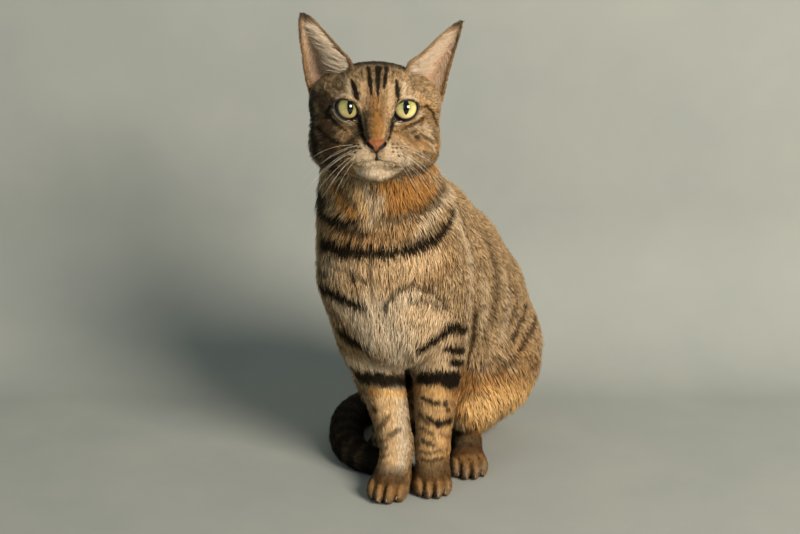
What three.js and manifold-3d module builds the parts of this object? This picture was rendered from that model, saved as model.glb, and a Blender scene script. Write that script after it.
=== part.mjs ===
// Sitting domestic shorthair cat, life size. Millimetres, +Z up, the face looks toward -Y, the cat's left is +X.
// The body is one smooth-blended implicit shape made of named ellipsoids and tapered limbs. It is meshed region by
// region and parted by narrow gaps into the pieces a person would name.
import * as THREE from 'three';
import { mergeVertices } from 'three/addons/utils/BufferGeometryUtils.js';
import Module from 'manifold-3d';

// ---------------------------------------------------------------- driving dimensions
const HEAD_AT = [-18.8, -32, 337.4];        // midway between the eyes
const HEAD_TURN = [2.5, 4, 1.3];           // yaw, pitch (nose up), roll, degrees
const HIND_AT = [62, 130, 0], HIND_YAW = 38;   // the hindquarters are turned against the chest
const EYE_R = 10.6, EYE_X = 22.6, EYE_Y = 0.5, EYE_Z = 1.8; // eyeball radius and place in the head
const SOCKET_GAP = 0.3;
const LID_OPEN = [9.6, 8.0], LID_TILT = 20;    // half width and half height of the eye opening, degrees of slant
const EAR_CUP = 0.33, EAR_THICK = 2.8;         // depth of the ear cup per width, thickness of the ear
const EAR_SKEW = 1.7;                     // above 1, the cup is deepest toward its outer edge
const GAP = 0.3;                          // clear space between neighbouring pieces
const MESH_BODY = 16, MESH_HEAD = 8.6, MESH_ARM = 10, MESH_PAW = 8.5, MESH_TAIL = 12;   // facet sizes
const GROUP_BLEND = { fr: 12, fl: 12, hl: 12, hr: 12, tail: 4 };
const CENTRE = [26.2, 80.35];                    // middle of the footprint, moved to the origin at the end

// ---------------------------------------------------------------- small vector helpers
const rad = (a) => a * Math.PI / 180;
const V = (a) => new THREE.Vector3(...a);
const rotz = (a) => new THREE.Matrix4().makeRotationZ(rad(a));
const rotx = (a) => new THREE.Matrix4().makeRotationX(rad(a));
const roty = (a) => new THREE.Matrix4().makeRotationY(rad(a));
const chain = (...m) => m.reduce((a, b) => a.clone().multiply(b));
const HR = chain(rotz(HEAD_TURN[0]), rotx(-HEAD_TURN[1]), roty(HEAD_TURN[2]));
const GR = rotz(-HIND_YAW);
const ID = new THREE.Matrix4();
const place = (p, F, O) => { const v = V(p).applyMatrix4(F); return [v.x + O[0], v.y + O[1], v.z + O[2]]; };
const headPoint = (p) => place(p, HR, HEAD_AT);
const hindPoint = (p) => place(p, GR, HIND_AT);

// ---------------------------------------------------------------- shape table builders
const PRIMS = [], EARS = {};
function E(group, part, c, r, rot, k, coat, F = ID, O = [0, 0, 0]) {
  const M = chain(F, rotz(rot[2]), roty(rot[1]), rotx(rot[0])).elements;
  PRIMS.push({ group, part, kind: 'E', k, c: place(c, F, O), r, ax: [[M[0], M[1], M[2]], [M[4], M[5], M[6]], [M[8], M[9], M[10]]] });
}
function C(group, part, a, ra, b, rb, k, coat, F = ID, O = [0, 0, 0]) {
  PRIMS.push({ group, part, kind: 'C', k, a: place(a, F, O), ra, b: place(b, F, O), rb });
}
function G(group, part, c, r, rot, k, coat) { E(group, part, c, r, rot, k, coat, GR, HIND_AT); }
function H(part, c, r, rot, k, coat) { E('front', part, c, r, rot, k, coat, HR, HEAD_AT); }
function H2(part, c, r, rot, k, coat) {
  H(part, [-c[0], c[1], c[2]], r, [rot[0], -rot[1], -rot[2]], k, coat);
  H(part, c, r, rot, k, coat);
}
function HC(part, a, ra, b, rb, k, coat) { C('front', part, a, ra, b, rb, k, coat, HR, HEAD_AT); }
function paw(g, part, at, yaw, s) {
  const F = rotz(yaw), O = [at[0], at[1], 0];
  E(g, part, [0, 4, 11.2 * s], [16.5 * s, 19 * s, 12.5 * s], [0, 0, 0], 6, 1.6, F, O);
  for (const [x, y] of [[-12.2, -8], [-4.4, -14], [4.4, -14], [12.2, -8]]) {
    E(g, part, [x * s, y * s, 7.7 * s], [5.4 * s, 11 * s, 8.6 * s], [12, 0, -x * 0.8], 3, 1.6, F, O);
  }
}
function smoothLine(P, n) {
  const m = P[0].length, out = [];
  const end = (a, b) => a.map((x, i) => 2 * x - b[i]);
  const Q = [end(P[0], P[1]), ...P, end(P[P.length - 1], P[P.length - 2])];
  for (let i = 0; i < P.length - 1; i++) {
    for (let j = 0; j < n; j++) {
      const t = j / n, [a, b, c, d] = Q.slice(i, i + 4), row = [];
      for (let q = 0; q < m; q++) {
        row.push(0.5 * (2 * b[q] + (c[q] - a[q]) * t + (2 * a[q] - 5 * b[q] + 4 * c[q] - d[q]) * t * t
          + (3 * b[q] - a[q] - 3 * c[q] + d[q]) * t * t * t));
      }
      out.push(row);
    }
  }
  out.push(P[P.length - 1].slice());
  return out;
}
let TAIL_LINE = [];
function tail(rows, n) {
  TAIL_LINE = smoothLine(rows, n);
  for (let i = 0; i < TAIL_LINE.length - 1; i++) {
    const p = TAIL_LINE[i], q = TAIL_LINE[i + 1];
    C('tail', 'tail', p.slice(0, 3), p[3], q.slice(0, 3), q[3], i ? 2 : 0, 4.5);
  }
}
function ear(side, rows) { EARS[side] = rows.map((r) => r.map(headPoint)); }

// ---------------------------------------------------------------- shape table
// trunk
C('core', 'trunk', [12, 58, 216], 52, [34, 84, 184], 58, 0, 5);
C('core', 'trunk', [34, 84, 184], 58, [53, 110, 146], 60, 6, 5);
C('core', 'trunk', [53, 110, 146], 60, [65, 124, 106], 61, 6, 5);
E('core', 'trunk', [19, 60, 228], [44, 40, 40], [0, 0, 0], 10, 5);
C('core', 'rump', [65, 124, 106], 61, [56, 142, 70], 50, 8, 6);
G('core', 'rump', [-14, 28, 41], [43, 44, 43], [0, 0, 0], 20, 6);
// chest and shoulders
E('front', 'chest', [-11, 28, 218], [58, 44, 54], [0, 0, 0], 18, 6);
E('front', 'chest', [-2, 24, 166], [52, 40, 60], [0, 0, 0], 18, 6);
E('front', 'shoulder_r', [-40, 38, 190], [30, 36, 56], [0, -8, -8], 12, 5);
E('front', 'shoulder_r', [-32, 42, 144], [25, 30, 40], [0, 0, 0], 10, 5);
E('front', 'shoulder_l', [30, 38, 188], [29, 38, 58], [0, 4, 8], 12, 5);
E('front', 'shoulder_l', [34, 44, 144], [25, 30, 40], [0, 0, 0], 10, 5);
// neck
E('front', 'neck', [-15, 33, 254], [56, 47, 48], [12, 0, 0], 18, 6);
E('front', 'neck', [-20, 15, 292], [48, 37, 44], [8, 0, 0], 18, 6);
// haunches
G('core', 'thigh_l', [40, -6, 84], [32, 57, 50], [0, 0, 6], 14, 6);
E('core', 'thigh_l', [62, 71, 61], [30, 35, 30], [0, 0, 0], 12, 6);
G('core', 'thigh_r', [-40, -31, 74], [30, 68, 54], [0, 0, -4], 16, 6);
// skull, face and jaw, in the head's own frame
H('head', [0, 36, 4], [50, 42, 33], [0, 0, 0], 12, 2.4);
H('head', [0, 14, 12], [36, 26, 24], [0, 0, 0], 10, 2);
H2('head', [29, 18, -18], [24, 24, 26], [0, 0, 0], 10, 3);
H2('head', [33, 26, -34], [20, 22, 18], [0, 0, 0], 12, 4);
H2('head', [33, 24, 4], [20, 24, 21], [0, 0, 0], 8, 2);
H2('head', [12, 1, -5], [9, 10, 14], [0, 0, 0], 6, 1.2);
H('head', [0, -10, -31], [23, 20, 15], [0, 0, 0], 8, 1.4);
H2('head', [10.5, -17, -33], [13.5, 13, 10.5], [0, 0, 0], 5, 1.2);
HC('head', [0, 2, 4], 14, [0, -22.5, -19.5], 7.2, 6, 1.2);
H('head', [0, -26.5, -24], [7.6, 6, 5.6], [0, 0, 0], 4, 0.6);
H('head', [0, -13, -46], [14, 13, 9.5], [0, 0, 0], 6, 1.4);
H('head', [0, 10, -38], [32, 28, 18], [0, 0, 0], 10, 3);
H2('head', [22.6, 1, 1.8], [12.6, 12, 12], [0, 0, 0], 6, 0.6);
// forelegs
C('fr', 'upper_fr', [-40, 34, 184], 28, [-21, 44, 114], 26, 0, 4);
C('fr', 'fore_fr', [-21, 44, 114], 23, [-2, 24, 36], 14.5, 8, 2.5);
C('fr', 'paw_fr', [-2, 24, 36], 14.5, [-5, 14, 20], 15.5, 6, 2);
paw('fr', 'paw_fr', [-9, 4], -14, 1.05);
C('fl', 'upper_fl', [36, 34, 178], 27, [33, 44, 112], 27, 0, 4);
C('fl', 'fore_fl', [33, 44, 112], 24, [28, 26, 36], 15, 8, 2.5);
C('fl', 'paw_fl', [28, 26, 36], 15, [27.6, 20, 20], 15.5, 6, 2);
paw('fl', 'paw_fl', [27.4, 14], 2, 1.0);
// hind legs: shank, foot
C('hl', 'shank_hl', [58, 82, 84], 28, [60, 142, 30], 18, 0, 5);
C('hl', 'foot_hl', [60, 142, 16], 16, [60, 78, 15], 15, 8, 2.5);
paw('hl', 'foot_hl', [60, 56], 4, 1.02);
C('hr', 'shank_hr', [-16, 82, 84], 28, [16, 178, 30], 18, 0, 5);
C('hr', 'foot_hr', [16, 178, 16], 16, [-12, 120, 15], 15, 8, 2.5);
paw('hr', 'foot_hr', [-12, 98], -10, 1.02);
// tail
tail([[70, 180, 36, 24], [54, 200, 23, 18.5], [20, 208, 16.5, 18], [-22, 196, 15.5, 17], [-46, 158, 15.2, 16.5], [-49.5, 112, 15.2, 16.5], [-44, 76, 14.2, 15.5], [-29, 55, 12.8, 14], [-11, 47.5, 11.3, 12.5], [5, 48.5, 7.4, 8.6]], 4);
// ears: rows from base to tip, inner edge then outer edge, in the head's own frame
ear('r', [[[-18.8, 11.7, 29.7], [-46.1, 39.8, 3.4]], [[-20.5, 8.2, 37.7], [-52.1, 34.4, 13.3]], [[-29.2, 13.0, 46.9], [-55.9, 32.4, 29.3]], [[-37.0, 17.7, 55.4], [-57.6, 29.6, 42.0]], [[-45.0, 21.5, 63.7], [-59.7, 26.7, 54.6]], [[-51.3, 23.3, 70.0], [-60.3, 25.0, 65.6]], [[-57.4, 24.4, 72.8], [-59.4, 24.5, 71.9]]]);
ear('l', [[[23.4, 10.0, 29.0], [49.3, 36.1, -0.4]], [[25.4, 6.4, 36.6], [53.5, 30.2, 9.0]], [[33.7, 10.6, 42.3], [57.2, 27.8, 27.1]], [[42.4, 14.7, 50.0], [60.3, 24.7, 40.0]], [[50.6, 17.8, 58.1], [63.6, 21.6, 53.1]], [[58.4, 19.0, 64.8], [66.1, 19.9, 62.2]], [[65.6, 19.4, 69.7], [67.0, 19.4, 68.8]]]);

// ---------------------------------------------------------------- implicit shape
const smin = (a, b, k) => {
  if (k <= 0) return Math.min(a, b);
  const h = Math.max(k - Math.abs(a - b), 0) / k;
  return Math.min(a, b) - h * h * k * 0.25;
};
function dist(p, x, y, z) {
  if (p.kind === 'E') {
    const dx = x - p.c[0], dy = y - p.c[1], dz = z - p.c[2];
    let k0 = 0, k1 = 0;
    for (let i = 0; i < 3; i++) {
      const q = dx * p.ax[i][0] + dy * p.ax[i][1] + dz * p.ax[i][2], r = p.r[i];
      k0 += (q / r) ** 2; k1 += (q / (r * r)) ** 2;
    }
    k0 = Math.sqrt(k0); k1 = Math.sqrt(k1) + 1e-9;
    return k0 * (k0 - 1) / k1;
  }
  const b = [p.b[0] - p.a[0], p.b[1] - p.a[1], p.b[2] - p.a[2]], a = [x - p.a[0], y - p.a[1], z - p.a[2]];
  const h = Math.min(1, Math.max(0, (a[0] * b[0] + a[1] * b[1] + a[2] * b[2]) / Math.max(1e-9, b[0] ** 2 + b[1] ** 2 + b[2] ** 2)));
  return Math.hypot(a[0] - h * b[0], a[1] - h * b[1], a[2] - h * b[2]) - (p.ra + h * (p.rb - p.ra));
}
const blendOf = (group) => {
  const use = PRIMS.filter((p) => p.group === group);
  return (x, y, z) => use.reduce((v, p) => (v === null ? dist(p, x, y, z) : smin(v, dist(p, x, y, z), p.k)), null);
};
const CORE = blendOf('core'), FRONT = blendOf('front');
const LIMB = Object.fromEntries(Object.keys(GROUP_BLEND).map((g) => [g, blendOf(g)]));
// the body with the named limbs grown out of it
const shape = (limbs, grow = 0) => (x, y, z) => {
  const body = smin(CORE(x, y, z), FRONT(x, y, z), 9);
  let out = body;
  for (const g of limbs) out = Math.min(out, smin(body, LIMB[g](x, y, z), GROUP_BLEND[g]));
  return out - grow;
};

// ---------------------------------------------------------------- meshing: dual cells, then each corner set on the surface
const { Manifold, Mesh } = await Module().then((m) => { m.setup(); return m; });
function solid(f, lo, hi, h) {
  const n = lo.map((a, i) => Math.ceil((hi[i] - a) / h) + 1), N = n[0] * n[1] * n[2];
  const id = (i, j, k) => (i * n[1] + j) * n[2] + k;
  const val = new Float64Array(N).fill(1);
  for (let i = 1; i < n[0] - 1; i++) for (let j = 1; j < n[1] - 1; j++) for (let k = 1; k < n[2] - 1; k++) {
    val[id(i, j, k)] = f(lo[0] + i * h, lo[1] + j * h, lo[2] + k * h) || 1e-9;
  }
  // one corner per sheet of surface in a cell, so that the result is always a closed two-sided mesh
  const owner = new Int32Array(N * 12).fill(-1), pts = [], tris = [];
  const bit = (c, a) => (c >> a) & 1;
  for (let i = 0; i < n[0] - 1; i++) for (let j = 0; j < n[1] - 1; j++) for (let k = 0; k < n[2] - 1; k++) {
    const v = [];
    for (let c = 0; c < 8; c++) v.push(val[id(i + bit(c, 0), j + bit(c, 1), k + bit(c, 2))]);
    const up = Array.from({ length: 12 }, (_, q) => q), hit = new Array(12).fill(null);
    const root = (q) => (up[q] === q ? q : root(up[q]));
    for (let a = 0; a < 3; a++) for (let c = 0; c < 8; c++) {
      if (bit(c, a)) continue;
      const va = v[c], vb = v[c | (1 << a)];
      if ((va < 0) === (vb < 0)) continue;
      const p = [bit(c, 0), bit(c, 1), bit(c, 2)]; p[a] += va / (va - vb);
      hit[a * 4 + bit(c, (a + 1) % 3) + 2 * bit(c, (a + 2) % 3)] = p;
    }
    if (!hit.some((p) => p)) continue;
    for (let a = 0; a < 3; a++) for (let sg = 0; sg < 2; sg++) {
      const u = (a + 1) % 3, w = (a + 2) % 3;
      const eu = (cw) => u * 4 + cw + 2 * sg, ew = (cu) => w * 4 + sg + 2 * cu;
      const on = [eu(0), eu(1), ew(0), ew(1)].filter((q) => hit[q]);
      if (on.length === 2) up[root(on[0])] = root(on[1]);
      if (on.length === 4) for (const cu of [0, 1]) for (const cw of [0, 1]) {
        if (v[(cu << u) | (cw << w) | (sg << a)] < 0) up[root(eu(cw))] = root(ew(cu));
      }
    }
    const made = {};
    for (let q = 0; q < 12; q++) {
      if (!hit[q]) continue;
      const r = root(q);
      if (!(r in made)) { made[r] = pts.length; pts.push([0, 0, 0, 0]); }
      const t = pts[made[r]];
      for (let m = 0; m < 3; m++) t[m] += hit[q][m];
      t[3]++; owner[id(i, j, k) * 12 + q] = made[r];
    }
    for (const m of Object.values(made)) {
      const t = pts[m];
      pts[m] = [lo[0] + (i + t[0] / t[3]) * h, lo[1] + (j + t[1] / t[3]) * h, lo[2] + (k + t[2] / t[3]) * h];
    }
  }
  const e = 0.3;
  for (const p of pts) {
    for (let it = 0; it < 4; it++) {
      const v = f(...p);
      if (Math.abs(v) > h) break;
      const g = [0, 1, 2].map((q) => { const a = p.slice(), b = p.slice(); a[q] += e; b[q] -= e; return (f(...a) - f(...b)) / (2 * e); });
      const gg = Math.max(0.25, g[0] ** 2 + g[1] ** 2 + g[2] ** 2);
      for (let q = 0; q < 3; q++) p[q] -= 0.8 * v * g[q] / gg;
    }
  }
  const len = (a, b) => Math.hypot(pts[a][0] - pts[b][0], pts[a][1] - pts[b][1], pts[a][2] - pts[b][2]);
  for (let i = 0; i < n[0] - 1; i++) for (let j = 0; j < n[1] - 1; j++) for (let k = 0; k < n[2] - 1; k++) {
    for (let a = 0; a < 3; a++) {
      const o = [i, j, k], t = o.slice(); t[a]++;
      if (!o[(a + 1) % 3] || !o[(a + 2) % 3]) continue;
      const v0 = val[id(...o)], v1 = val[id(...t)];
      if ((v0 < 0) === (v1 < 0)) continue;
      const u = (a + 1) % 3, w = (a + 2) % 3;
      const at = (du, dw) => { const q = o.slice(); q[u] -= du; q[w] -= dw; return owner[id(...q) * 12 + a * 4 + du + 2 * dw]; };
      let q = [at(1, 1), at(0, 1), at(0, 0), at(1, 0)];
      if (!(v0 < 0)) q = q.reverse();
      if (len(q[0], q[2]) <= len(q[1], q[3])) tris.push(q[0], q[1], q[2], q[0], q[2], q[3]);
      else tris.push(q[0], q[1], q[3], q[1], q[2], q[3]);
    }
  }
  return new Manifold(new Mesh({ numProp: 3, vertProperties: new Float32Array(pts.flat()), triVerts: new Uint32Array(tris) }));
}
function fromGeometry(g, matrix) {
  let b = g.clone(); b.deleteAttribute('uv'); b.deleteAttribute('normal');
  if (matrix) b.applyMatrix4(matrix);
  b = mergeVertices(b, 1e-5);
  return new Manifold(new Mesh({ numProp: 3, vertProperties: new Float32Array(b.attributes.position.array), triVerts: new Uint32Array(b.index.array) }));
}
// a box given by its corner range in a frame
const BIG = 700;
function block(lo, hi, F = ID, O = [0, 0, 0]) {
  const s = hi.map((v, i) => v - lo[i]), m = hi.map((v, i) => (v + lo[i]) / 2);
  const M = new THREE.Matrix4().makeTranslation(...O).multiply(F).multiply(new THREE.Matrix4().makeTranslation(...m));
  return fromGeometry(new THREE.BoxGeometry(...s), M);
}
// everything on the side of a plane that its normal points to
function side(point, normal, sign = 1) {
  const q = new THREE.Quaternion().setFromUnitVectors(new THREE.Vector3(0, 0, 1), V(normal).normalize().multiplyScalar(sign));
  const F = new THREE.Matrix4().makeRotationFromQuaternion(q);
  return block([-BIG, -BIG, GAP / 2], [BIG, BIG, BIG], F, point);
}
const cut = (m, ...keep) => keep.reduce((a, k) => a.intersect(k), m);
const less = (m, ...away) => away.reduce((a, k) => a.subtract(k), m);
const biggest = (m) => m.decompose().sort((a, b) => b.volume() - a.volume())[0];

// ---------------------------------------------------------------- planes between the pieces: [point, normal]
const P_HEAD = [[-18, 5, 291], [0, -0.30, 0.954]];
const P_NECK = [[-14, 30, 247], [0, -0.22, 0.975]];
const P_CHEST = [[0, 82, 100], [0.12, 0.98, -0.16]];
const P_RUMP = [[60, 128, 118], [-0.25, -0.35, 0.9]];
const THIGH_L = { x: 34, y: -61, z: 134 }, THIGH_R = { x: -34, y: -97, z: 130 };   // in the hindquarters' frame
const LEG_TOP = 102, LEG_MID = 40, LEG_SPLIT = 13.2;
const FOOT_TOP = 32.5;

// ---------------------------------------------------------------- pieces
const pieces = [];
const add = (name, m, colour, rough = 0.75) => pieces.push({ name, m: biggest(m), colour, rough });

// skull with its sockets
const headShape = shape([]);
const headSolid = cut(solid(headShape, [-92, -78, 258], [52, 84, 400], MESH_HEAD), side(...P_HEAD));
const eyeAt = { left: headPoint([EYE_X, EYE_Y, EYE_Z]), right: headPoint([-EYE_X, EYE_Y, EYE_Z]) };
const lidOpening = (s) => {
  const g = new THREE.CylinderGeometry(1, 1, 30, 16);      // along y, pushed out of the face
  const M = chain(new THREE.Matrix4().makeTranslation(...eyeAt[s > 0 ? 'left' : 'right']), HR, rotz(s * 8),
    roty(-s * LID_TILT), new THREE.Matrix4().makeTranslation(0, -15, 0), new THREE.Matrix4().makeScale(LID_OPEN[0], 1, LID_OPEN[1]));
  return fromGeometry(g, M);
};
const ball = (at, r, n) => fromGeometry(new THREE.IcosahedronGeometry(r, n), new THREE.Matrix4().makeTranslation(...at));
const head = less(headSolid, ball(eyeAt.left, EYE_R + SOCKET_GAP, 3), ball(eyeAt.right, EYE_R + SOCKET_GAP, 3), lidOpening(1), lidOpening(-1));
add('head', head, '#8f6b48');

// ear: a cupped sheet lofted from its inner to its outer edge
function earSheet(side, NS, NT) {
  const rows = EARS[side], flat = smoothLine(rows.map((r) => r.flat()), 6);
  const mid = (r) => V(r[0]).add(V(r[1])).multiplyScalar(0.5);
  const axis = mid(rows[rows.length - 1]).sub(mid(rows[1])).normalize();
  const e = V(rows[1][1]).sub(V(rows[1][0])); e.addScaledVector(axis, -e.dot(axis)).normalize();
  const back = axis.clone().cross(e); if (back.y < 0) back.negate();
  const grid = [];
  for (let i = 0; i <= NS; i++) {
    const u = i / NS * (flat.length - 1), q = Math.min(flat.length - 2, Math.floor(u)), f = u - q;
    const row = flat[q].map((v, m) => v * (1 - f) + flat[q + 1][m] * f);
    const a = V(row.slice(0, 3)), b = V(row.slice(3)), w = a.distanceTo(b), line = [];
    for (let j = 0; j <= NT; j++) {
      const t = j / NT;
      line.push(a.clone().lerp(b, t).addScaledVector(back, EAR_CUP * w * (4 * t ** EAR_SKEW * (1 - t ** EAR_SKEW)) ** 0.75));
    }
    grid.push(line);
  }
  const normal = (i, j) => {
    const du = grid[Math.min(NS, i + 1)][j].clone().sub(grid[Math.max(0, i - 1)][j]);
    const dv = grid[i][Math.min(NT, j + 1)].clone().sub(grid[i][Math.max(0, j - 1)]);
    const n = du.cross(dv).normalize(); return n.dot(back) < 0 ? n.negate() : n;
  };
  const pos = [], idx = [], W = NT + 1, skin = (NS + 1) * W;
  for (const sgn of [-1, 1]) for (let i = 0; i <= NS; i++) for (let j = 0; j <= NT; j++) {
    const th = EAR_THICK * (1 - 0.35 * i / NS);
    pos.push(...grid[i][j].clone().addScaledVector(normal(i, j), sgn * th / 2).toArray());
  }
  const quad = (a, b, c, d) => idx.push(a, b, c, a, c, d);
  for (let i = 0; i < NS; i++) for (let j = 0; j < NT; j++) {
    const a = i * W + j, b = a + 1, c = a + W + 1, d = a + W;
    quad(a, b, c, d); quad(skin + a, skin + d, skin + c, skin + b);
  }
  for (let i = 0; i < NS; i++) for (const j of [0, NT]) {
    const a = i * W + j, d = a + W;
    if (j) quad(a, skin + a, skin + d, d); else quad(a, d, skin + d, skin + a);
  }
  for (let j = 0; j < NT; j++) for (const i of [0, NS]) {
    const a = i * W + j, b = a + 1;
    if (i) quad(a, b, skin + b, skin + a); else quad(a, skin + a, skin + b, b);
  }
  const build = (list) => new Manifold(new Mesh({ numProp: 3, vertProperties: new Float32Array(pos), triVerts: new Uint32Array(list) }));
  const m = build(idx);
  return m.volume() > 0 ? m : build(idx.map((_, k) => idx[k - (k % 3) + [0, 2, 1][k % 3]]));
}
const headGrown = solid(shape([], GAP), [-92, -78, 258], [52, 84, 400], MESH_HEAD);
add('ear_right', less(earSheet('r', 6, 6), headGrown), '#b98f78');
add('ear_left', less(earSheet('l', 6, 6), headGrown), '#c49c84');
add('eye_right', ball(eyeAt.right, EYE_R, 2), '#aeb65c', 0.15);
add('eye_left', ball(eyeAt.left, EYE_R, 2), '#b9c066', 0.15);

// forelegs below the elbow
const legBoxR = (g) => block([-75 - g, -45 - g, -20], [LEG_SPLIT - GAP / 2 + g, 66 + g, LEG_TOP - GAP / 2 + g]);
const legBoxL = (g) => block([LEG_SPLIT + GAP / 2 - g, -45 - g, -20], [62 + g, 65 + g, LEG_TOP - GAP / 2 + g])
  .intersect(block([-BIG, -BIG, -BIG], [BIG, THIGH_L.y - GAP / 2 + g, BIG], GR, HIND_AT));
const floor = block([-BIG, -BIG, 0], [BIG, BIG, BIG]);
for (const [name, g, box, lo, hi] of [
  ['right', 'fr', legBoxR(0), [-70, -40, -12], [26, 86, 122]],
  ['left', 'fl', legBoxL(0), [-4, -36, -12], [76, 86, 122]]]) {
  const leg = cut(solid(shape([g]), lo, hi, MESH_ARM), box, floor);
  add('forearm_' + name, cut(leg, side([0, 0, LEG_MID], [0, 0, 1])), '#a98660');
  const low = cut(solid(shape([g]), lo, [hi[0], hi[1], 60], MESH_PAW), box, floor);
  add('forepaw_' + name, cut(low, side([0, 0, LEG_MID], [0, 0, 1], -1)), '#7d6044');
}

// hind feet
const footBoxL = (g) => block([34 - g, 12 - g, -20], [92 + g, 112 + g, FOOT_TOP - GAP / 2 + g]);
const footR = [rotz(-19.3), [-12, 98, 0]];
const footBoxR = (g) => block([-24 - g, -60 - g, -20], [24 + g, 46 + g, FOOT_TOP - GAP / 2 + g], ...footR);
add('hindfoot_left', cut(solid(shape(['hl']), [26, 16, -12], [100, 132, 50], MESH_PAW), footBoxL(0), floor), '#7d6044');
add('hindfoot_right', cut(solid(shape(['hr']), [-52, 54, -12], [40, 164, 50], MESH_PAW), footBoxR(0), floor), '#6f563e');

// trunk, parted into neck, chest, loin, rump and thighs
const body = cut(less(solid(shape(['fr', 'fl', 'hl', 'hr']), [-100, -50, -22], [156, 236, 330], MESH_BODY),
  legBoxR(GAP), legBoxL(GAP), footBoxL(GAP), footBoxR(GAP)), floor);
const thighL = (g) => block([THIGH_L.x - g, THIGH_L.y + GAP / 2 - g, -20], [BIG, BIG, THIGH_L.z + g], GR, HIND_AT);
const thighR = (g) => block([-BIG, THIGH_R.y + GAP / 2 - g, -20], [THIGH_R.x + g, BIG, THIGH_R.z + g], GR, HIND_AT);
add('thigh_left', cut(body, thighL(0)), '#8a6d4a');
add('thigh_right', cut(body, thighR(0)), '#7c6243');
const torso = less(body, thighL(GAP), thighR(GAP));
add('neck', cut(torso, side(...P_HEAD, -1), side(...P_NECK), side(...P_CHEST, -1)), '#94704b');
add('chest', cut(torso, side(...P_NECK, -1), side(...P_CHEST, -1)), '#9c7850');
add('loin', cut(torso, side(...P_CHEST), side(...P_RUMP)), '#7f674a');
add('rump', cut(torso, side(...P_CHEST), side(...P_RUMP, -1)), '#86694a');

// tail, from the rump round to the forepaws, in five lengths
const whole = shape(['fr', 'fl', 'hl', 'hr'], 4 * GAP);
const tailField = LIMB.tail;
const tailSolid = cut(less(solid(tailField, [-92, 14, -14], [112, 250, 76], MESH_TAIL),
  solid(whole, [-100, -50, -22], [156, 236, 130], MESH_BODY), body), floor);
const marks = [9, 16, 22, 28];
const plates = marks.map((i) => {
  const p = V(TAIL_LINE[i].slice(0, 3)), d = V(TAIL_LINE[i + 1].slice(0, 3)).sub(p).normalize();
  const F = new THREE.Matrix4().makeRotationFromQuaternion(new THREE.Quaternion().setFromUnitVectors(new THREE.Vector3(0, 0, 1), d));
  return block([-34, -34, -GAP / 2], [34, 34, GAP / 2], F, p.toArray());
});
const lengths = less(tailSolid, ...plates).decompose().filter((m) => m.volume() > 500);
const along = (m) => {
  const b = m.boundingBox(), c = V(b.min.map((v, i) => (v + b.max[i]) / 2));
  let best = 0, d = Infinity;
  TAIL_LINE.forEach((p, i) => { const e = V(p.slice(0, 3)).distanceTo(c); if (e < d) { d = e; best = i; } });
  return best;
};
lengths.sort((a, b) => along(a) - along(b)).forEach((m, i) => add('tail_' + (i + 1), m, ['#5c4936', '#4e4032', '#43382d', '#3b3229', '#2e2823'][i]));

// ---------------------------------------------------------------- scene graph
const cat = new THREE.Group();
cat.name = 'cat';
for (const { name, m, colour, rough } of pieces) {
  const d = m.getMesh(), g = new THREE.BufferGeometry();
  const xyz = new Float32Array(d.triVerts.length * 3);
  for (let i = 0; i < d.triVerts.length; i++) for (let q = 0; q < 3; q++) xyz[i * 3 + q] = d.vertProperties[d.triVerts[i] * d.numProp + q];
  g.setAttribute('position', new THREE.BufferAttribute(xyz, 3));
  const welded = mergeVertices(g, 1e-6);
  welded.computeVertexNormals();
  const mesh = new THREE.Mesh(welded, new THREE.MeshStandardMaterial({ color: colour, roughness: rough, metalness: 0, flatShading: true }));
  mesh.name = name;
  cat.add(mesh);
}
cat.position.set(-CENTRE[0], -CENTRE[1], 0);
export default cat;
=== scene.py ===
"""The cat's looks: one skin, mesh fur, eyes, whiskers, claws, floor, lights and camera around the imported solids.
Shapes are worked out in millimetres in the shape's own frame and handed over in metres in the row frame."""
import math
import time
import bpy
import numpy as np
from mathutils import Matrix, Vector
from mathutils.kdtree import KDTree


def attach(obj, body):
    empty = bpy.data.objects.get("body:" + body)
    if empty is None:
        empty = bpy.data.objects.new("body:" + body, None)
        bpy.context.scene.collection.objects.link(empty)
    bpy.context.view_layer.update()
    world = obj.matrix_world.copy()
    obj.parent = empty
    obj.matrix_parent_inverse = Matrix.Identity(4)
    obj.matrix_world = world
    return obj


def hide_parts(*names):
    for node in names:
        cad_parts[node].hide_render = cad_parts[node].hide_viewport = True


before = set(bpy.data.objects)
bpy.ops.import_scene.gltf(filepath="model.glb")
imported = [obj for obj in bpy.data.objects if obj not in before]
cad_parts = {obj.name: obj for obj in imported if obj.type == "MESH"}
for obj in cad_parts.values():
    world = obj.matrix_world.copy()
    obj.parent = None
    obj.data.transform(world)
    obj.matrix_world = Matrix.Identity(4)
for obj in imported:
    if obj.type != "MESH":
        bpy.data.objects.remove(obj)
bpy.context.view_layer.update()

T0 = time.time()
RNG = np.random.default_rng(20)
CENTRE = np.array([26.2, 80.35, 0.0])      # shape frame, mm, of the row frame's origin


def say(*a):
    print("%6.1fs" % (time.time() - T0), *a, flush=True)


def row(P):
    """shape frame in mm to row frame in metres"""
    return (np.asarray(P, float) - CENTRE) / 1000.0


def unit(v):
    return v / np.maximum(np.linalg.norm(v, axis=-1, keepdims=True), 1e-9)


def step(a, b, x):
    t = np.clip((x - a) / (b - a), 0, 1)
    return t * t * (3 - 2 * t)



# ---------------------------------------------------------------- body shape, millimetres
HEAD_AT = (-18.8, -32.0, 337.4)      # midway between the eyes
HEAD_TURN = (2.5, 4.0, 1.3)         # yaw, pitch (nose up), roll, degrees
HIND_AT, HIND_YAW = (62.0, 130.0, 0.0), 38.0
EYE_R, EYE_X, EYE_Y, EYE_Z = 10.6, 22.6, 0.5, 1.8
GROUP_BLEND = dict(fr=12, fl=12, hl=12, hr=12, tail=4)


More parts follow.
